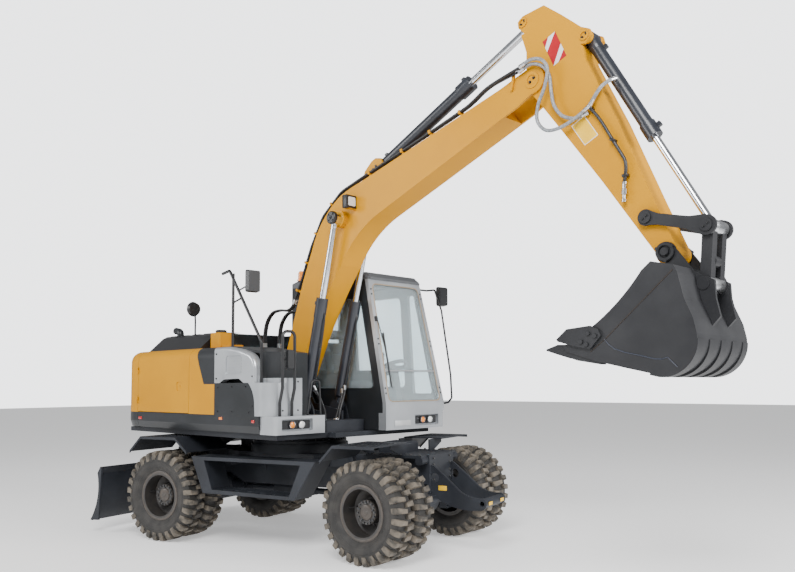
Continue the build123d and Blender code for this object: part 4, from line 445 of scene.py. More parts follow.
# ---- Axles, gearbox and slew ring: bolted housings under the frame. The ring carries two circles of
# bolts, one through the pedestal's flange and one through the platform.
ring_spots = [((x, y, level), (0, 0, 1))
    for count, radius, level in ((36, 0.548, 1.1605), (40, 0.54, 1.1205)) for x, y in circle(count, radius)]
bolts("slew_ring_bolts", "undercarriage", ring_spots, 0.013, 0.012)
AXLES, AXLE_HEIGHT = (-1.161, 1.711), 0.5275
swing = math.radians(14.0)
forward = Vector((math.cos(swing), math.sin(swing), 0))
sideways = Vector((-math.sin(swing), math.cos(swing), 0))
upward = Vector((0, 0, 1))


def chassis(x, y, z):
    """A point in the undercarriage's own directions."""
    return forward * x + sideways * y + upward * z


under_spots = []
for side in (1, -1):
    under_spots += [(chassis(axle + x, side * 0.236, AXLE_HEIGHT + z), sideways * side) for axle in AXLES
        for x, z in circle(12, 0.1)]
    under_spots += [(chassis(x, side * 0.41, 1.0505), upward) for x in (1.3, 1.42, 1.54, 1.66, 1.78, 1.9)]
    under_spots += [(chassis(1.9605, side * 0.2, z), forward) for z in (0.7, 0.78, 0.86, 0.94, 1.01)]
bolts("frame_bolts", "undercarriage", under_spots, 0.012, 0.011)

# ---- Steps and fenders: the treads are folded plate with raised grip studs, and the fenders carry the
# same studs where a boot lands. Reflectors are small moulded lenses screwed to the skirts.


def boxes(name, items, materials, body, edge=0.003):
    """Small machined or moulded blocks with eased edges: (centre, size, turn, material number)."""
    bm = bmesh.new()
    for centre, size, *rest in items:
        place = Matrix.Translation(centre) @ (rest[0] if rest and rest[0] else Matrix())
        made = bmesh.ops.create_cube(bm, size=1.0, matrix=place @ Matrix.Diagonal((*size, 1)))["verts"]
        for face in {f for v in made for f in v.link_faces}:
            face.material_index = rest[1] if len(rest) > 1 else 0
        bmesh.ops.bevel(bm, geom=list({e for v in made for e in v.link_edges}), segments=2, affect="EDGES",
            offset=min(edge, 0.3 * min(size)), profile=0.5)
    return into_mesh(name, bm, materials, body, 40)


def tilt(degrees, axis="Y"):
    """A turn about one axis."""
    return Matrix.Rotation(math.radians(degrees), 4, axis)


HOUSE_SIDE, HOUSE_REAR = 1.2425, -2.2755
chassis_spin = Matrix((forward, sideways, upward)).transposed().to_4x4()
studs = []
for rows, columns, x, pitch, y, step, z, width in (
    (3, 22, -0.44, 0.054, 0.93, 0.035, 0.6475, 0.022),
    (6, 8, 1.3, 0.055, 0.62, 0.06, 1.192, 0.026),
    (6, 8, -1.5, 0.06, 0.62, 0.06, 1.212, 0.026),
):
    studs += [(chassis(x + number * pitch, side * (y + row * step), z), (width, 0.01, 0.004), chassis_spin)
        for side in (1, -1) for row in range(rows) for number in range(columns)]
boxes("grip_studs", studs, (chassis_black,), "undercarriage", edge=0.0015)

red_lens = finish("red_lens", (0.62, 0.012, 0.01), (0.5, 0.008, 0.008), 0.18, 40.0, coat=0.8, bump=0.3)
reflectors = [((HOUSE_REAR, y, 1.44), (0.007, 0.09, 0.034)) for y in (0.82, -0.82)]
for x, side, z, width, height, tint in (
    (-1.7, -1, 1.415, 0.08, 0.034, 0), (0.7, -1, 1.432, 0.05, 0.03, 0), (0.094, -1, 1.452, 0.06, 0.03, 1),
    (-1.7, 1, 1.415, 0.08, 0.034, 0), (-0.6, 1, 1.452, 0.06, 0.03, 1),
):
    reflectors.append(((x, side * HOUSE_SIDE, z), (width, 0.007, height), None, tint))
boxes("reflectors", reflectors, (red_lens, amber), "upper", edge=0.002)
plate_grey = finish("blank_plate", (0.55, 0.56, 0.56), (0.48, 0.49, 0.5), 0.45, 8.0, metallic=0.3, grain=400)
yellow_plate = finish("yellow_plate", (0.9, 0.55, 0.02), (0.85, 0.5, 0.015), 0.4, 9.0, grain=400)
boxes("bracket_plates", [
    (chassis(x, side * y, z), size, chassis_spin, number) for number, x, y, z, size in (
        (0, 2.1, 0.2665, 0.7, (0.1, 0.002, 0.05)), (1, 2.615, 0.16, 0.56, (0.004, 0.09, 0.035)))
    for side in (1, -1)], (yellow_plate, yellow_plate), "undercarriage", edge=0.0008)

# ---- House covers: louvres pressed in the left engine door, walk strips in black grit, a filler cap, a
# blank plate, and the black screws that hold the cheek, step box and lower panel.
grit = finish("grit_strip", (0.035, 0.035, 0.036), (0.012, 0.012, 0.013), 0.9, 160.0, grain=900, bump=0.6)
louvres = [((-1.34 + column * 0.42, HOUSE_SIDE, 1.66 + row * 0.036), (0.36, 0.01, 0.02), tilt(-28, "X"))
    for column in range(2) for row in range(12)]
boxes("door_louvres", louvres, (yellow,), "engine_door_left")
boxes("hood_strips", [((-1.6 + 0.26 * k, y, 2.4745), (0.16, wide, 0.003))
    for y, wide in ((-0.7, 0.26), (0.55, 0.5)) for k in range(5)], (grit,), "engine_hood", edge=0.001)
screws = [((x, -1.2405, z), (0, -1, 0)) for x, z in (
    (0.03, 1.53), (0.03, 1.8), (0.3, 1.53), (0.62, 1.53), (0.3, 1.81), (0.56, 1.81), (0.68, 1.6),
    (0.0, 1.9), (0.0, 2.18), (0.68, 1.92))]
screws += [((0.9705, y, z), (1, 0, 0)) for y in (-1.05, -0.84) for z in (1.55, 1.86)]
screws += [((x, y, 2.2685), (0, 0, 1)) for x in (-1.95, -2.1) for y in (0.6, -0.6)]
bolts("cover_screws", "upper", screws, 0.0075, 0.006, powder)
cap = Matrix.Translation((-0.415, -0.9, 2.4585))
bm = bmesh.new()
spin(bm, [(0.0, 0), (0.0, 0.055), (0.006, 0.06), (0.03, 0.06), (0.036, 0.052), (0.036, 0.03), (0.03, 0.026),
    (0.03, 0)], 40, cap)
for number in range(12):
    grip = cap @ tilt(30 * number, "Z") @ Matrix.Translation((0.062, 0, 0.018))
    bmesh.ops.create_cube(bm, size=1.0, matrix=grip @ Matrix.Diagonal((0.01, 0.008, 0.022, 1)))
into_mesh("filler_cap", bm, (powder,), "upper", 35)
boxes("base_plates", [((1.3245, 0.462, 1.37), (0.004, 0.27, 0.062))], (plate_grey,), "upper", edge=0.001)

# ---- Lamps and mirrors: clear and amber moulded lenses behind chromed rings, flat mirror glass in black
# housings, and a work lamp in a ribbed black housing on the boom.
mirror_glass = finish("mirror_glass", (0.78, 0.81, 0.84), (0.74, 0.77, 0.8), 0.03, 1.5, metallic=1.0,
    grain=2.0, bump=0.004)
for name, face_x, middle in (("right", 1.059, -0.915), ("left", 1.321, 0.895)):
    bm = bmesh.new()
    for across, radius, tint in ((0.06, 0.036, 0), (-0.07, 0.033, 1)):
        place = aimed((1, 0, 0), (face_x - 0.0085, middle + across, 1.3975))
        spin(bm, [(0.0, 0), (0.0, radius), (0.004, radius), (0.01, radius * 0.9), (0.014, radius * 0.6),
            (0.0155, 0)], 36, place, tint)
        spin(bm, [(-0.006, radius), (0.01, radius), (0.012, radius + 0.003), (0.01, radius + 0.006),
            (-0.006, radius + 0.006)], 36, place, 2)
    into_mesh("front_lens_" + name, bm, (lamp_glass, amber, chrome), "upper", 35)


def rounded_sheet(name, centre, across, upward_axis, width, height, radius, thick, material, body):
    """A thin sheet with rounded corners: mirror glass, a lens or a plate."""
    bm = bmesh.new()
    across, upward_axis = Vector(across).normalized(), Vector(upward_axis).normalized()
    turns = circle(20, radius)
    rim = [(sx * (width / 2 - radius) + x, sy * (height / 2 - radius) + y)
           for first, sx, sy in ((0, 1, 1), (5, -1, 1), (10, -1, -1), (15, 1, -1))
           for x, y in (turns + turns[:1])[first:first + 6]]
    layers = [[bm.verts.new(Vector(centre) + (across * u + upward_axis * v) * shrink
        + across.cross(upward_axis) * depth) for u, v in rim]
        for depth, shrink in ((0, 1.0), (thick * 0.6, 1.0), (thick, 0.985))]
    for one, two in zip(layers, layers[1:]):
        for k in range(len(rim)):
            bm.faces.new((one[k - 1], one[k], two[k], two[k - 1]))
    bm.faces.new(layers[0][::-1])
    bm.faces.new(layers[-1])
    return into_mesh(name, bm, (material,), body, 30)


for name, centre, width, height, radius in (
    ("step_mirror_glass", (1.0329, -1.031, 2.1), 0.082, 0.188, 0.018),
    ("tank_mirror_glass", (0.5979, -1.2, 2.97), 0.146, 0.226, 0.02),
    ("cab_mirror_glass", (1.1799, 1.34, 2.94), 0.146, 0.226, 0.03),
):
    rounded_sheet(name, centre, (0, -1, 0), (0, 0, 1), width, height, radius, 0.003, mirror_glass, "upper")
lamp_parts = [((1.327, -0.4, 3.87), (0.082, 0.156, 0.151))]
lamp_parts += [((1.2825, -0.4, 3.83 + 0.02 * k), (0.012, 0.13, 0.008)) for k in range(5)]
boxes("boom_lamp_housing", lamp_parts, (powder,), "boom", edge=0.012)
rounded_sheet("boom_lamp_glass", (1.3682, -0.4, 3.87), (0, 1, 0), (0, 0, 1), 0.105, 0.1, 0.016, 0.004,
    lamp_glass, "boom")

# ---- Window seals and wiper: extruded rubber round each pane, tan on the windscreen and black elsewhere.
# The wiper hangs from a motor part-way up the screen's right post.
seal_tan = finish("seal_tan", (0.36, 0.27, 0.18), (0.3, 0.22, 0.145), 0.6, 9.0, grain=400, bump=0.08)
seal_black = finish("seal_black", (0.014, 0.014, 0.015), (0.022, 0.022, 0.023), 0.66, 9.0, grain=400,
    bump=0.08)
SILL, GLASS_HIGH = 1.604, 1.481


def screen(y, z, off=0.0):
    """A point on the windscreen's sloping plane, off metres ahead of it."""
    return Vector((1.321 - (z - SILL) / GLASS_HIGH * 0.291 + off, y, z))


def cab_left(x, z, off=0.0):
    """A point on the cab's left side, off metres outside it."""
    return Vector((x, 1.22 - max(0.0, z - SILL) / GLASS_HIGH * 0.115 + off, z))


def rounded_run(corners, radius):
    """A closed run through corners that are rounded off."""
    run = []
    for before, corner, after in zip(corners[-1:] + corners, corners, corners[1:] + corners[:1]):
        before, after = before - corner, after - corner
        start, end = corner + before.normalized() * radius, corner + after.normalized() * radius
        for t in (0, 0.2, 0.4, 0.6, 0.8, 1):
            run.append(start * (1 - t) ** 2 + corner * 2 * t * (1 - t) + end * t ** 2)
    return run + run[:1]


def seal(name, body, material, *windows):
    """Rubber round one or more windows, as runs of (corners, corner radius)."""
    runs = [rounded_run([Vector(corner) for corner in corners], radius) for corners, radius in windows]
    pipe_mesh(name, runs, 0.0065, material, body)


seal("screen_seal", "upper", seal_tan,
    ([screen(y, z, 0.001) for y, z in ((0.238, 1.625), (1.155, 1.625), (1.045, 3.03), (0.238, 3.03))],
    0.075))
seal("door_seal", "cab_door", seal_black,
    ([cab_left(x, z, 0.0005) for x, z in ((-0.16, 1.78), (0.71, 1.78), (0.71, 2.95), (-0.16, 2.95))],
    0.075))
seal("cab_seals", "upper", seal_black,
     ([cab_left(x, z, 0.0005) for x, z in ((0.84, 1.7), (1.17, 1.7), (0.95, 2.96), (0.84, 2.96))], 0.042),
     ([(x, 0.1825, z) for x, z in ((-0.28, 1.775), (1.13, 1.775), (0.9, 2.87), (-0.28, 2.87))], 0.075),
     ([(-0.3905, y, z) for y, z in ((0.293, 2.33), (1.02, 2.33), (1.0, 2.96), (0.293, 2.96))], 0.075))
pipe_mesh("wiper", [(screen(0.215, 2.6, 0.012), screen(0.216, 2.58, 0.03), screen(0.3, 2.1, 0.026)),
    (screen(0.292, 2.44, 0.022), screen(0.312, 1.78, 0.014))], 0.006, powder, "upper")
boxes("wiper_blade", [
    (screen(0.302, 2.11, 0.0065), (0.016, 0.01, 0.66), tilt(-11.1) @ tilt(1.8, "X")),
    (screen(0.214, 2.6, 0.008), (0.03, 0.034, 0.06), tilt(-11.1))], (seal_black,), "upper")
edge_bolts = [(screen(y, z), (0.981, 0, 0.193)) for z in (1.72, 1.78, 2.3, 2.36, 2.9, 2.96)
    for y in (0.206, 1.19 - (z - SILL) * 0.0775)]
bolts("screen_frame_bolts", "upper", edge_bolts, 0.008, 0.007, powder)

# ---- Cab door's furniture: a cast pull handle with its lock, and the screws of the black hinge covers.
# The handle is die-cast and black, screwed through the sheet.
boxes("door_handle", [
    (cab_left(0.655, 1.69, 0.02), (0.15, 0.016, 0.03)), (cab_left(0.595, 1.69, 0.01), (0.024, 0.026, 0.04)),
    (cab_left(0.715, 1.69, 0.01), (0.024, 0.026, 0.04)), (cab_left(0.655, 1.63, 0.002), (0.04, 0.01, 0.04))],
      (powder,), "cab_door", edge=0.005)
bolts("door_bolts", "cab_door", [(cab_left(x, z, 0.0), (0, 1, 0)) for x in (-0.19, -0.14)
    for z in (1.62, 1.7)], 0.008, 0.006, powder)

# ---- Cab's inside: two lever stands with rubber boots and moulded grips, armrests, a screen on the right
# post, pedals on the floor. Grained black plastic over steel.
LEVERS, PEDALS = (0.33, 1.0), (0.6, 0.77)
inside = [((1.05, 0.3, 2.02), (0.03, 0.17, 0.13), tilt(-12))]
for y in LEVERS:
    inside += [((0.16, y, 1.985), (0.3, 0.09, 0.05)), ((0.44, y, 1.972), (0.11, 0.09, 0.024))]
for y in PEDALS:
    inside += [((0.96, y, 1.45), (0.1, 0.075, 0.014), tilt(-32)), ((0.985, y, 1.418), (0.02, 0.03, 0.06))]
boxes("cab_fittings", inside, (grained,), "upper", edge=0.012)
bm = bmesh.new()
for y in LEVERS:
    spin(bm, [(0.0, 0), (0.0, 0.04), (0.012, 0.04), (0.016, 0.032), (0.024, 0.034), (0.03, 0.027),
        (0.038, 0.029), (0.044, 0.021), (0.052, 0.022), (0.06, 0.01), (0.13, 0.009), (0.134, 0.019),
        (0.16, 0.023), (0.2, 0.021), (0.235, 0.024), (0.252, 0.018), (0.258, 0)], 24,
        Matrix.Translation((0.44, y, 1.983)) @ tilt(8))
into_mesh("control_levers", bm, (grained,), "upper", 35)

# ---- Seat: a suspension seat with foam cushions under a dark woven cover. The cushion, back and headrest
# are stuffed pads with sewn channels, on a steel frame over a bellows.
cover = finish("seat_cover", (0.04, 0.043, 0.05), (0.028, 0.03, 0.036), 0.85, 14.0, grain=520, bump=0.35)
SEAT_Y, RECLINE = 0.68, -7.6
boxes("seat_frame", [((0.15, SEAT_Y, 1.425), (0.4, 0.4, 0.046)), ((0.16, SEAT_Y, 1.722), (0.42, 0.4, 0.04)),
    *(((0.15, SEAT_Y, 1.47 + 0.034 * k), (0.33 - 0.024 * (k % 2), 0.34 - 0.024 * (k % 2), 0.03))
    for k in range(7)), ((-0.062, SEAT_Y, 1.86), (0.04, 0.3, 0.24), tilt(RECLINE))], (powder,), "upper",
    edge=0.01)
pads = []
for name, centre, size, lean, most in (
    ("seat_cushion", (0.175, SEAT_Y, 1.812), (0.455, 0.455, 0.086), 0.0, 0.014),
    ("seat_back", (-0.05, SEAT_Y, 2.15), (0.08, 0.42, 0.47), RECLINE, 0.014),
    ("headrest", (-0.096, SEAT_Y, 2.48), (0.066, 0.25, 0.125), RECLINE, 0.01),
):
    bm = bmesh.new()
    bmesh.ops.create_cube(bm, size=1.0)
    bmesh.ops.scale(bm, vec=size, verts=bm.verts)
    bmesh.ops.bevel(bm, geom=bm.edges[:], offset=0.4 * min(size), segments=5, affect="EDGES", profile=0.6)
    bmesh.ops.transform(bm, matrix=Matrix.Translation(centre) @ tilt(lean), verts=bm.verts)
    rough = into_mesh(name + "_form", bm, (), None)
    voxels = rough.modifiers.new("voxels", "REMESH")
    voxels.mode = "VOXEL"
    voxels.voxel_size = 0.006
    foam = baked(rough)
    pad = placed(name, foam)
    cloth = pad.modifiers.new("cloth", "CLOTH")
    cloth.settings.use_pressure = True
    cloth.settings.uniform_pressure_force = 4
    cloth.settings.effector_weights.gravity = 0
    cloth.point_cache.frame_end = 20
    pads.append((pad, [v.co.copy() for v in foam.vertices], Vector(centre), lean, most, size))
for step in range(1, 21):
    bpy.context.scene.frame_set(step)
CHANNEL, SIDE_SEAM, CROSS_SEAM = 0.007, 0.125, 0.07
for pad, rest, centre, lean, most, size in pads:
    swollen = baked(pad, keep=True)
    pad.modifiers.clear()
    upright = tilt(lean)
    flat = pad.name == "seat_cushion"
    for vertex, start in zip(swollen.vertices, rest):
        moved = vertex.co - start
        if moved.length > most:
            vertex.co = start + moved * (most / moved.length)
        local = upright.transposed() @ (vertex.co - centre)
        depth, along = (local.z / (size[2] / 2), local.x) if flat else (local.x / (size[0] / 2), local.z)
        groove = sum(math.exp(-((local.y - line) / CHANNEL) ** 2) for line in (-SIDE_SEAM, SIDE_SEAM))
        if pad.name != "headrest" and abs(local.y) < SIDE_SEAM:
            groove += sum(math.exp(-((along - line) / CHANNEL) ** 2) for line in (-CROSS_SEAM, CROSS_SEAM))
        if depth > 0.3:
            sink = upright @ Vector((0, 0, 1) if flat else (1, 0, 0))
            vertex.co -= sink * (0.006 * min(1.0, groove) * min(1.0, (depth - 0.3) / 0.5))
    pad.data = swollen
    finer = pad.modifiers.new("finer", "SUBSURF")
    finer.levels = finer.render_levels = 1
    smooth = baked(pad, keep=True)
    pad.modifiers.clear()
    pad.data = smooth
    smooth.shade_smooth()
    smooth.materials.clear()
    smooth.materials.append(cover)
    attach(pad, "upper")
    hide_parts("seat")
bpy.context.scene.frame_set(1)
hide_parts("seat")

# ---- Pins: every link pin is held by a keeper plate and two bolts on each end. A point is dropped on to
# the metal from outside, so the bolts sit where the boss ends.


def land(name, start, direction):
    """The first place where a line from start meets this CAD node."""
    node = frame["nodes"][name]
    inverse = node.matrix_world.inverted()
    hit, spot, normal, face = node.ray_cast(inverse @ Vector(start), inverse.to_3x3() @ Vector(direction))
    return node.matrix_world @ spot if hit else None


def keepers(name, body, node, pins, spread=0.026, radius=0.011):
    """Bolt pairs on both ends of pins at (x, z), seated on a CAD node."""
    ends = [(land(node, (x + shift * 0.8, side * 2.5, z + shift * 0.6), (0, -side, 0)), (0, side, 0))
            for x, z in pins for side in (-1, 1) for shift in (-spread, spread)]
    bolts(name, body, [end for end in ends if end[0]], radius, 0.01, powder)


keepers("boom_pin_bolts", "boom", "boom", ((3.726, 4.644), (1.59, 4.24)))
keepers("arm_pin_bolts", "arm", "arm", ((3.622, 5.237), (4.266, 4.913), (4.967, 2.876)))
keepers("rocker_pin_bolts", "rocker", "rocker_links", ((4.807, 3.181), (5.304, 3.051)), 0.02, 0.009)

# ---- Cylinders: black painted barrels with a flanged head, a hard pipe down each boom barrel, and cast
# covers over the rod eyes with a grease fitting in the middle.
BOOM_Y = -0.17
ROD_EYE, BARREL_PIN = Vector((1.135, 0, 3.708)), Vector((0.6, 0, 1.56))
bm = bmesh.new()
for side in (-1, 1):
    face = land("boom_cylinder_rod", (ROD_EYE.x, side * 2.5, ROD_EYE.z + 0.05), (0, -side, 0))
    place = aimed((0, side, 0), (ROD_EYE.x, face.y - side * 0.001, ROD_EYE.z))
    spin(bm, [(0.0, 0), (0.0, 0.072), (0.01, 0.076), (0.034, 0.074), (0.044, 0.06), (0.044, 0.024),
        (0.052, 0.02), (0.052, 0.009), (0.062, 0.008), (0.062, 0)], 32, place)
    for x, y in circle(4, 0.046, 0.5):
        bmesh.ops.create_cone(bm, cap_ends=True, segments=6, radius1=0.009, radius2=0.009, depth=0.012,
            matrix=place @ Matrix.Translation((x, y, 0.048)))
into_mesh("rod_eye_covers", bm, (powder,), "boom_rods", 35)
reach = (ROD_EYE - BARREL_PIN).normalized()
ahead = Vector((reach.z, 0, -reach.x))
barrel_runs = []
for middle, inner in ((-0.432, 1), (0.092, -1)):
    foot = BARREL_PIN + Vector((0, middle, 0))
    barrel_runs.append([foot + Vector((0, across * inner, 0)) + reach * along + ahead * out
        for along, out, across in ((1.14, 0.06, 0), (1.12, 0.088, 0.01), (0.5, 0.088, 0.02),
        (0.36, 0.084, 0.02), (0.27, 0.078, 0.02))])
pipe_mesh("boom_barrel_pipes", barrel_runs, 0.011, powder, "boom_barrels", bend=True)

# ---- Boom pipes: two black steel pipes a side climb the boom's back from its foot, held by yellow clamp
# blocks. The right pair goes on to the nose and swings outboard there to clear the arm.
pipe_line = ((0.262, 2.86), (0.4, 3.115), (0.56, 3.462), (0.768, 3.8), (1.09, 4.046), (1.412, 4.142),
    (3.33, 4.694))
runs = []
for y, ending in ((-0.302, (3.64, -0.392, 4.77)), (-0.272, (3.61, -0.363, 4.745)), (-0.038, None),
        (-0.068, None)):
    line = [Vector((x, y, z)) for x, z in pipe_line]
    run = line[:1]
    for back, point, on in zip(line, line[1:], line[2:]):
        run += [point + (back - point).normalized() * 0.12, point, point + (on - point).normalized() * 0.12]
    if ending:
        end_y = ending[1]
        run += [(2.9, y, 4.57), (3.05, (2 * y + end_y) / 3, 4.616), (3.24, end_y, 4.672),
            (3.4, end_y, 4.716), ending]
    else:
        run.append((1.62, y, 4.202))
    runs.append(run)
pipe_mesh("boom_pipes", runs, 0.014, powder, "boom", bend=True, sides=12)
clamps = [((3.52, -0.338, 4.668), (0.026, 0.026, 0.15), tilt(12))]
for x, z, lean in ((0.315, 2.965, 61), (0.475, 3.285, 65), (0.65, 3.615, 58), (0.925, 3.925, 37),
        (1.55, 4.18, 16), (2.05, 4.325, 16), (2.45, 4.44, 16), (2.85, 4.555, 16)):
    for y in (-0.287, -0.053) if x < 1.6 else (-0.287,):
        foot = Vector((x, y, z)) + tilt(-lean) @ Vector((0, 0, -0.032))
        clamps += [((x, y, z), (0.026, 0.076, 0.04), tilt(-lean)), (foot, (0.02, 0.03, 0.05), tilt(-lean))]
boxes("boom_clamps", clamps, (yellow,), "boom", edge=0.004)

# ---- Hoses: high-pressure rubber hoses in a grey spiral guard. They cross the joints in free loops, long
# enough for the full swing, with crimped steel ends.
hose_guard = finish("hose_guard", (0.3, 0.32, 0.34), (0.17, 0.18, 0.195), 0.42, 60.0, coat=0.25, grain=300,
    bump=0.25)
hose_black = finish("hose_black", (0.02, 0.02, 0.022), (0.03, 0.03, 0.032), 0.5, 40.0, grain=500, bump=0.15)
crimp = finish("crimp_steel", (0.66, 0.67, 0.68), (0.56, 0.57, 0.585), 0.28, 12.0, metallic=1.0, grain=300,
    bump=0.03)


def smooth_path(points):
    """A smooth line through given points."""
    points = [Vector(p) for p in points]
    padded = [points[0] * 2 - points[1]] + points + [points[-1] * 2 - points[-2]]
    path = []
    for a, b, c, d in zip(padded, padded[1:], padded[2:], padded[3:]):
        for t in (step / 10 for step in range(10)):
            path.append(0.5 * (b * 2 + (c - a) * t + (a * 2 - b * 5 + c * 4 - d) * t * t
                + (b * 3 - a - c * 3 + d) * t ** 3))
    return path + [points[-1]]


def tube(bm, path, radii):
    """A round tube along a path, closed at both ends."""
    side = Vector((0.3, 1, 0.2))
    rings = []
    for k, point in enumerate(path):
        ahead = (path[min(k + 1, len(path) - 1)] - path[max(k - 1, 0)]).normalized()
        side = (side - ahead * side.dot(ahead)).normalized()
        rings.append([bm.verts.new(point + side * x + ahead.cross(side) * y)
            for x, y in circle(12, radii[k])])
    for one, two in zip(rings, rings[1:]):
        for j in range(12):
            bm.faces.new((one[j - 1], one[j], two[j], two[j - 1]))
    bm.faces.new(rings[0][::-1])
    bm.faces.new(rings[-1])


def hose(name, points, radius, material, near, far):
    """A free hose from one body to the next, with a crimped end on each."""
    path = smooth_path(points)
    bm = bmesh.new()
    tube(bm, path, [radius] * len(path))
    piece = into_mesh(name, bm, (material,), None, 40)
    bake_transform(piece)
    for label, body, tip, inside in (("near", near, path[0], path[3]), ("far", far, path[-1], path[-4])):
        bm = bmesh.new()
        run = (inside - tip).normalized()
        tube(bm, [tip + run * along for along in (-0.012, -0.0115, 0.01, 0.0105, 0.05, 0.052)],
             [radius * wider for wider in (0.8, 1.35, 1.35, 1.22, 1.22, 1.05)])
        into_mesh(name + "_end_" + label, bm, (crimp,), body, 35)


hose("arm_hose_long", ((3.652, -0.395, 4.774), (3.763, -0.395, 4.808), (3.878, -0.395, 4.774),
    (3.94, -0.395, 4.67), (3.904, -0.395, 4.508), (3.835, -0.395, 4.359), (3.822, -0.395, 4.216),
    (3.91, -0.395, 4.108), (4.053, -0.393, 4.097), (4.2, -0.372, 4.155), (4.318, -0.345, 4.236)), 0.0165,
    hose_guard, "boom", "arm")
hose("arm_hose_short", ((3.622, -0.365, 4.747), (3.742, -0.365, 4.779), (3.857, -0.365, 4.735),
    (3.935, -0.365, 4.63), (3.956, -0.365, 4.47), (3.982, -0.365, 4.33), (4.06, -0.36, 4.215),
    (4.18, -0.345, 4.165), (4.29, -0.322, 4.19)), 0.0165, hose_guard, "boom", "arm")
hose("bucket_cylinder_hose", ((4.336, -0.345, 4.252), (4.388, -0.345, 4.325), (4.44, -0.33, 4.392),
    (4.49, -0.29, 4.44), (4.513, -0.236, 4.466)), 0.0165, hose_guard, "arm", "bucket_barrel")
for number, y in enumerate((-0.302, -0.272, -0.068, -0.038)):
    hose("boom_foot_hose_%d" % (number + 1), ((0.255, y, 2.85), (0.205, y, 2.775), (0.11, y, 2.735),
        (-0.04, y, 2.745), (-0.19, y, 2.72), (-0.3, y, 2.61), (-0.345, y, 2.45), (-0.352, y, 2.3)), 0.015,
        hose_black, "boom", "upper")

deck_level = land("platform_frame", (0.77, -0.2, 1.7), (0, 0, -1)).z
cylinder_hoses = (((0.741, -0.412, 1.803), (0.765, -0.39, 1.74), (0.785, -0.34, 1.64), (0.79, -0.29, 1.52),
    (0.785, -0.27, 1.4), (0.78, -0.265, deck_level - 0.01)),
    ((0.7225, -0.387, 1.761), (0.752, -0.354, 1.684), (0.76, -0.3, 1.56), (0.755, -0.255, 1.43),
    (0.75, -0.235, deck_level - 0.01)))
for first, hand in ((1, 1), (3, -1)):
    for number, route in enumerate(cylinder_hoses, first):
        points = [(x, BOOM_Y + hand * (y - BOOM_Y), z) for x, y, z in route]
        hose("boom_cylinder_hose_%d" % number, points, 0.013, hose_black, "boom_barrels", "upper")

# ---- Arm's side: a hard pipe in two clamps down to a plain steel coupling, where a breaker's hose would
# fasten. A striped marking and a blank yellow plate are stuck on above and below the hoses.
arm_pipe = [(x, -0.338, z) for x, z in ((4.318, 4.236), (4.38, 4.16), (4.441, 4.068), (4.534, 3.893),
    (4.61, 3.76), (4.646, 3.69), (4.647, 3.611), (4.636, 3.56), (4.629, 3.5))]
pipe_mesh("arm_pipe", [arm_pipe], 0.0145, powder, "arm", bend=True, sides=12)
bm = bmesh.new()
tube(bm, [Vector((4.629 - 0.05 * t, -0.338, 3.515 - t))
    for t in (0, 0.004, 0.02, 0.022, 0.06, 0.064, 0.11, 0.114, 0.15, 0.154, 0.175)],
    [0.012, 0.02, 0.02, 0.017, 0.017, 0.023, 0.023, 0.016, 0.016, 0.021, 0.02])
into_mesh("arm_coupling", bm, (crimp,), "arm", 30)
boxes("arm_pipe_clamps", [((x, -0.328, z), (0.05, 0.056, 0.026), tilt(lean)) for x, z, lean in (
    (4.534, 3.893, 28), (4.637, 3.566, -8), (4.33, 4.222, 40))], (powder,), "arm", edge=0.004)
stripe_red = finish("marking_red", (0.42, 0.004, 0.012), (0.37, 0.003, 0.01), 0.35, 8.0, grain=400,
    bump=0.02)
stripe_white = finish("marking_white", (0.82, 0.83, 0.84), (0.76, 0.77, 0.78), 0.35, 8.0, grain=400,
    bump=0.02)
arm_face = land("arm", (3.95, -2.5, 4.88), (0, 1, 0)).y
top_left, top_right = Vector((3.835, arm_face, 4.985)), Vector((3.972, arm_face, 5.042))
low_left = Vector((3.947, arm_face, 4.724))
bm = bmesh.new()


def mark(u, v, lift):
    """A point on the marking, u across and v down it."""
    return top_left + (top_right - top_left) * u + (low_left - top_left) * v + Vector((0, -lift, 0))


def slab(corners, lift, number):
    """A thin flat marking cut to corners, just off the paint."""
    low = [bm.verts.new(mark(u, v, 0.0002)) for u, v in corners]
    high = [bm.verts.new(mark(u, v, lift)) for u, v in corners]
    walls = [(low[k - 1], low[k], high[k], high[k - 1]) for k in range(len(corners))]
    for face in (low[::-1], high, *walls):
        bm.faces.new(face).material_index = number


slab(((0, 0), (1, 0), (1, 1), (0, 1)), 0.0012, 0)
slab(((0, 0), (0.45, 0), (0, 0.25)), 0.0018, 1)
slab(((0, 0.43), (1, 0.0), (1, 0.5), (0, 1.0)), 0.0018, 1)
slab(((0.4, 1.0), (1.0, 0.75), (1.0, 1.0)), 0.0018, 1)
into_mesh("striped_marking", bm, (stripe_white, stripe_red), "arm")
plate_face = land("arm", (4.24, -2.5, 4.05), (0, 1, 0)).y
corner = Vector((4.246, 0, 4.185))
along, across = corner - Vector((4.375, 0, 3.983)), corner - Vector((4.114, 0, 4.119))
for name, proud, width, height, radius, material in (
    ("arm_plate_border", 0.0002, 0.15, 0.242, 0.006, stripe_white),
    ("arm_plate", 0.001, 0.138, 0.23, 0.004, yellow_plate),
):
    rounded_sheet(name, (4.247, plate_face - proud, 4.05), across, along, width, height, radius, 0.001,
        material, "arm")

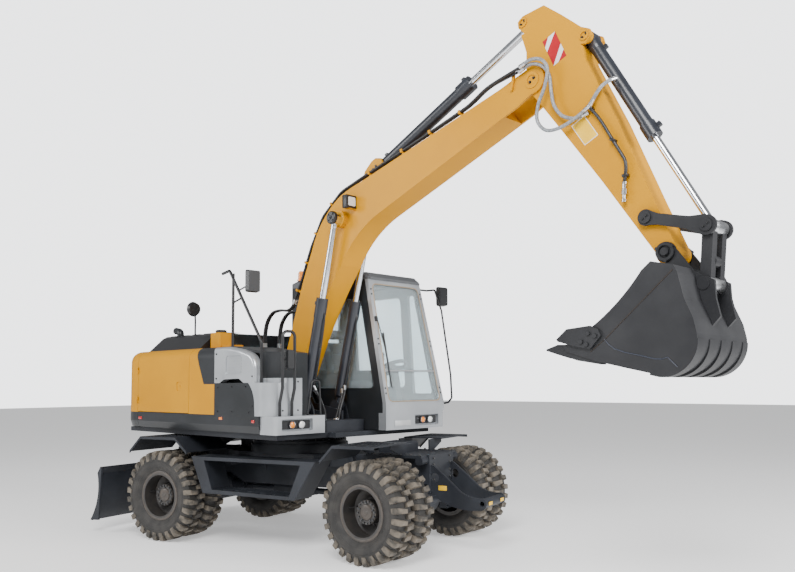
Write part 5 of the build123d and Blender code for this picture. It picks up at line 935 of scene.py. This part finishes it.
# ---- Bucket and links: weld seams where the side plate's two halves and its wear liner join, a bolted
# collar on each pin boss, and turned steel tubes between the ears. All welded plate in black.
weld_bead = finish("weld_bead", (0.05, 0.036, 0.026), (0.03, 0.024, 0.02), 0.5, 90.0, metallic=0.4,
    grain=260, bump=0.5)
liner_edge = finish("liner_edge", (0.026, 0.032, 0.052), (0.02, 0.025, 0.042), 0.42, 30.0, grain=260,
    bump=0.2)
for side in (-1, 1):
    face = land("bucket", (4.9, side * 2.5, 2.35), (0, -side, 0)).y + side * 0.0015
    for label, radius, material, run in (
        ("seam", 0.0035, weld_bead, ((5.168, 2.68), (4.6, 2.184), (4.46, 2.08))),
        ("liner", 0.0042, liner_edge, (
            (4.587, 2.179), (4.62, 2.135), (4.671, 2.098), (4.76, 2.066), (4.871, 2.042), (5.0, 2.01),
            (5.06, 2.006), (5.107, 2.019), (5.15, 1.975), (5.18, 1.944))),
    ):
        name = "bucket_%s_%s" % (label, "right" if side < 0 else "left")
        pipe_mesh(name, [[(x, face, z) for x, z in run]], radius, material, "bucket")
bm = bmesh.new()
for side in (-1, 1):
    boss = land("bucket", (4.967, side * 2.5, 2.876), (0, -side, 0)).y
    place = aimed((0, side, 0), (4.967, boss, 2.876))
    spin(bm, [(-0.004, 0.05), (0.012, 0.05), (0.016, 0.054), (0.016, 0.074), (0.012, 0.078),
        (-0.004, 0.078)], 40, place)
    spin(bm, [(-0.004, 0), (-0.004, 0.036), (0.02, 0.036), (0.026, 0.03), (0.026, 0)], 32, place)
    for x, y in circle(3, 0.072, 35 / 120):
        bmesh.ops.create_cone(bm, cap_ends=True, segments=20, radius1=0.017, radius2=0.014, depth=0.024,
            matrix=place @ Matrix.Translation((x, y, 0.008)))
into_mesh("bucket_pin_collars", bm, (bucket_black,), "bucket", 35)
bm = bmesh.new()
for x, z in ((5.304, 3.051), (5.264, 2.597)):
    spin(bm, [(-0.1385, 0.052), (-0.1385, 0.059), (-0.134, 0.062), (0.134, 0.062), (0.1385, 0.059),
        (0.1385, 0.052)], 40, aimed((0, 1, 0), (x, BOOM_Y, z)))
into_mesh("link_tubes", bm, (crimp,), "h_link", 35)
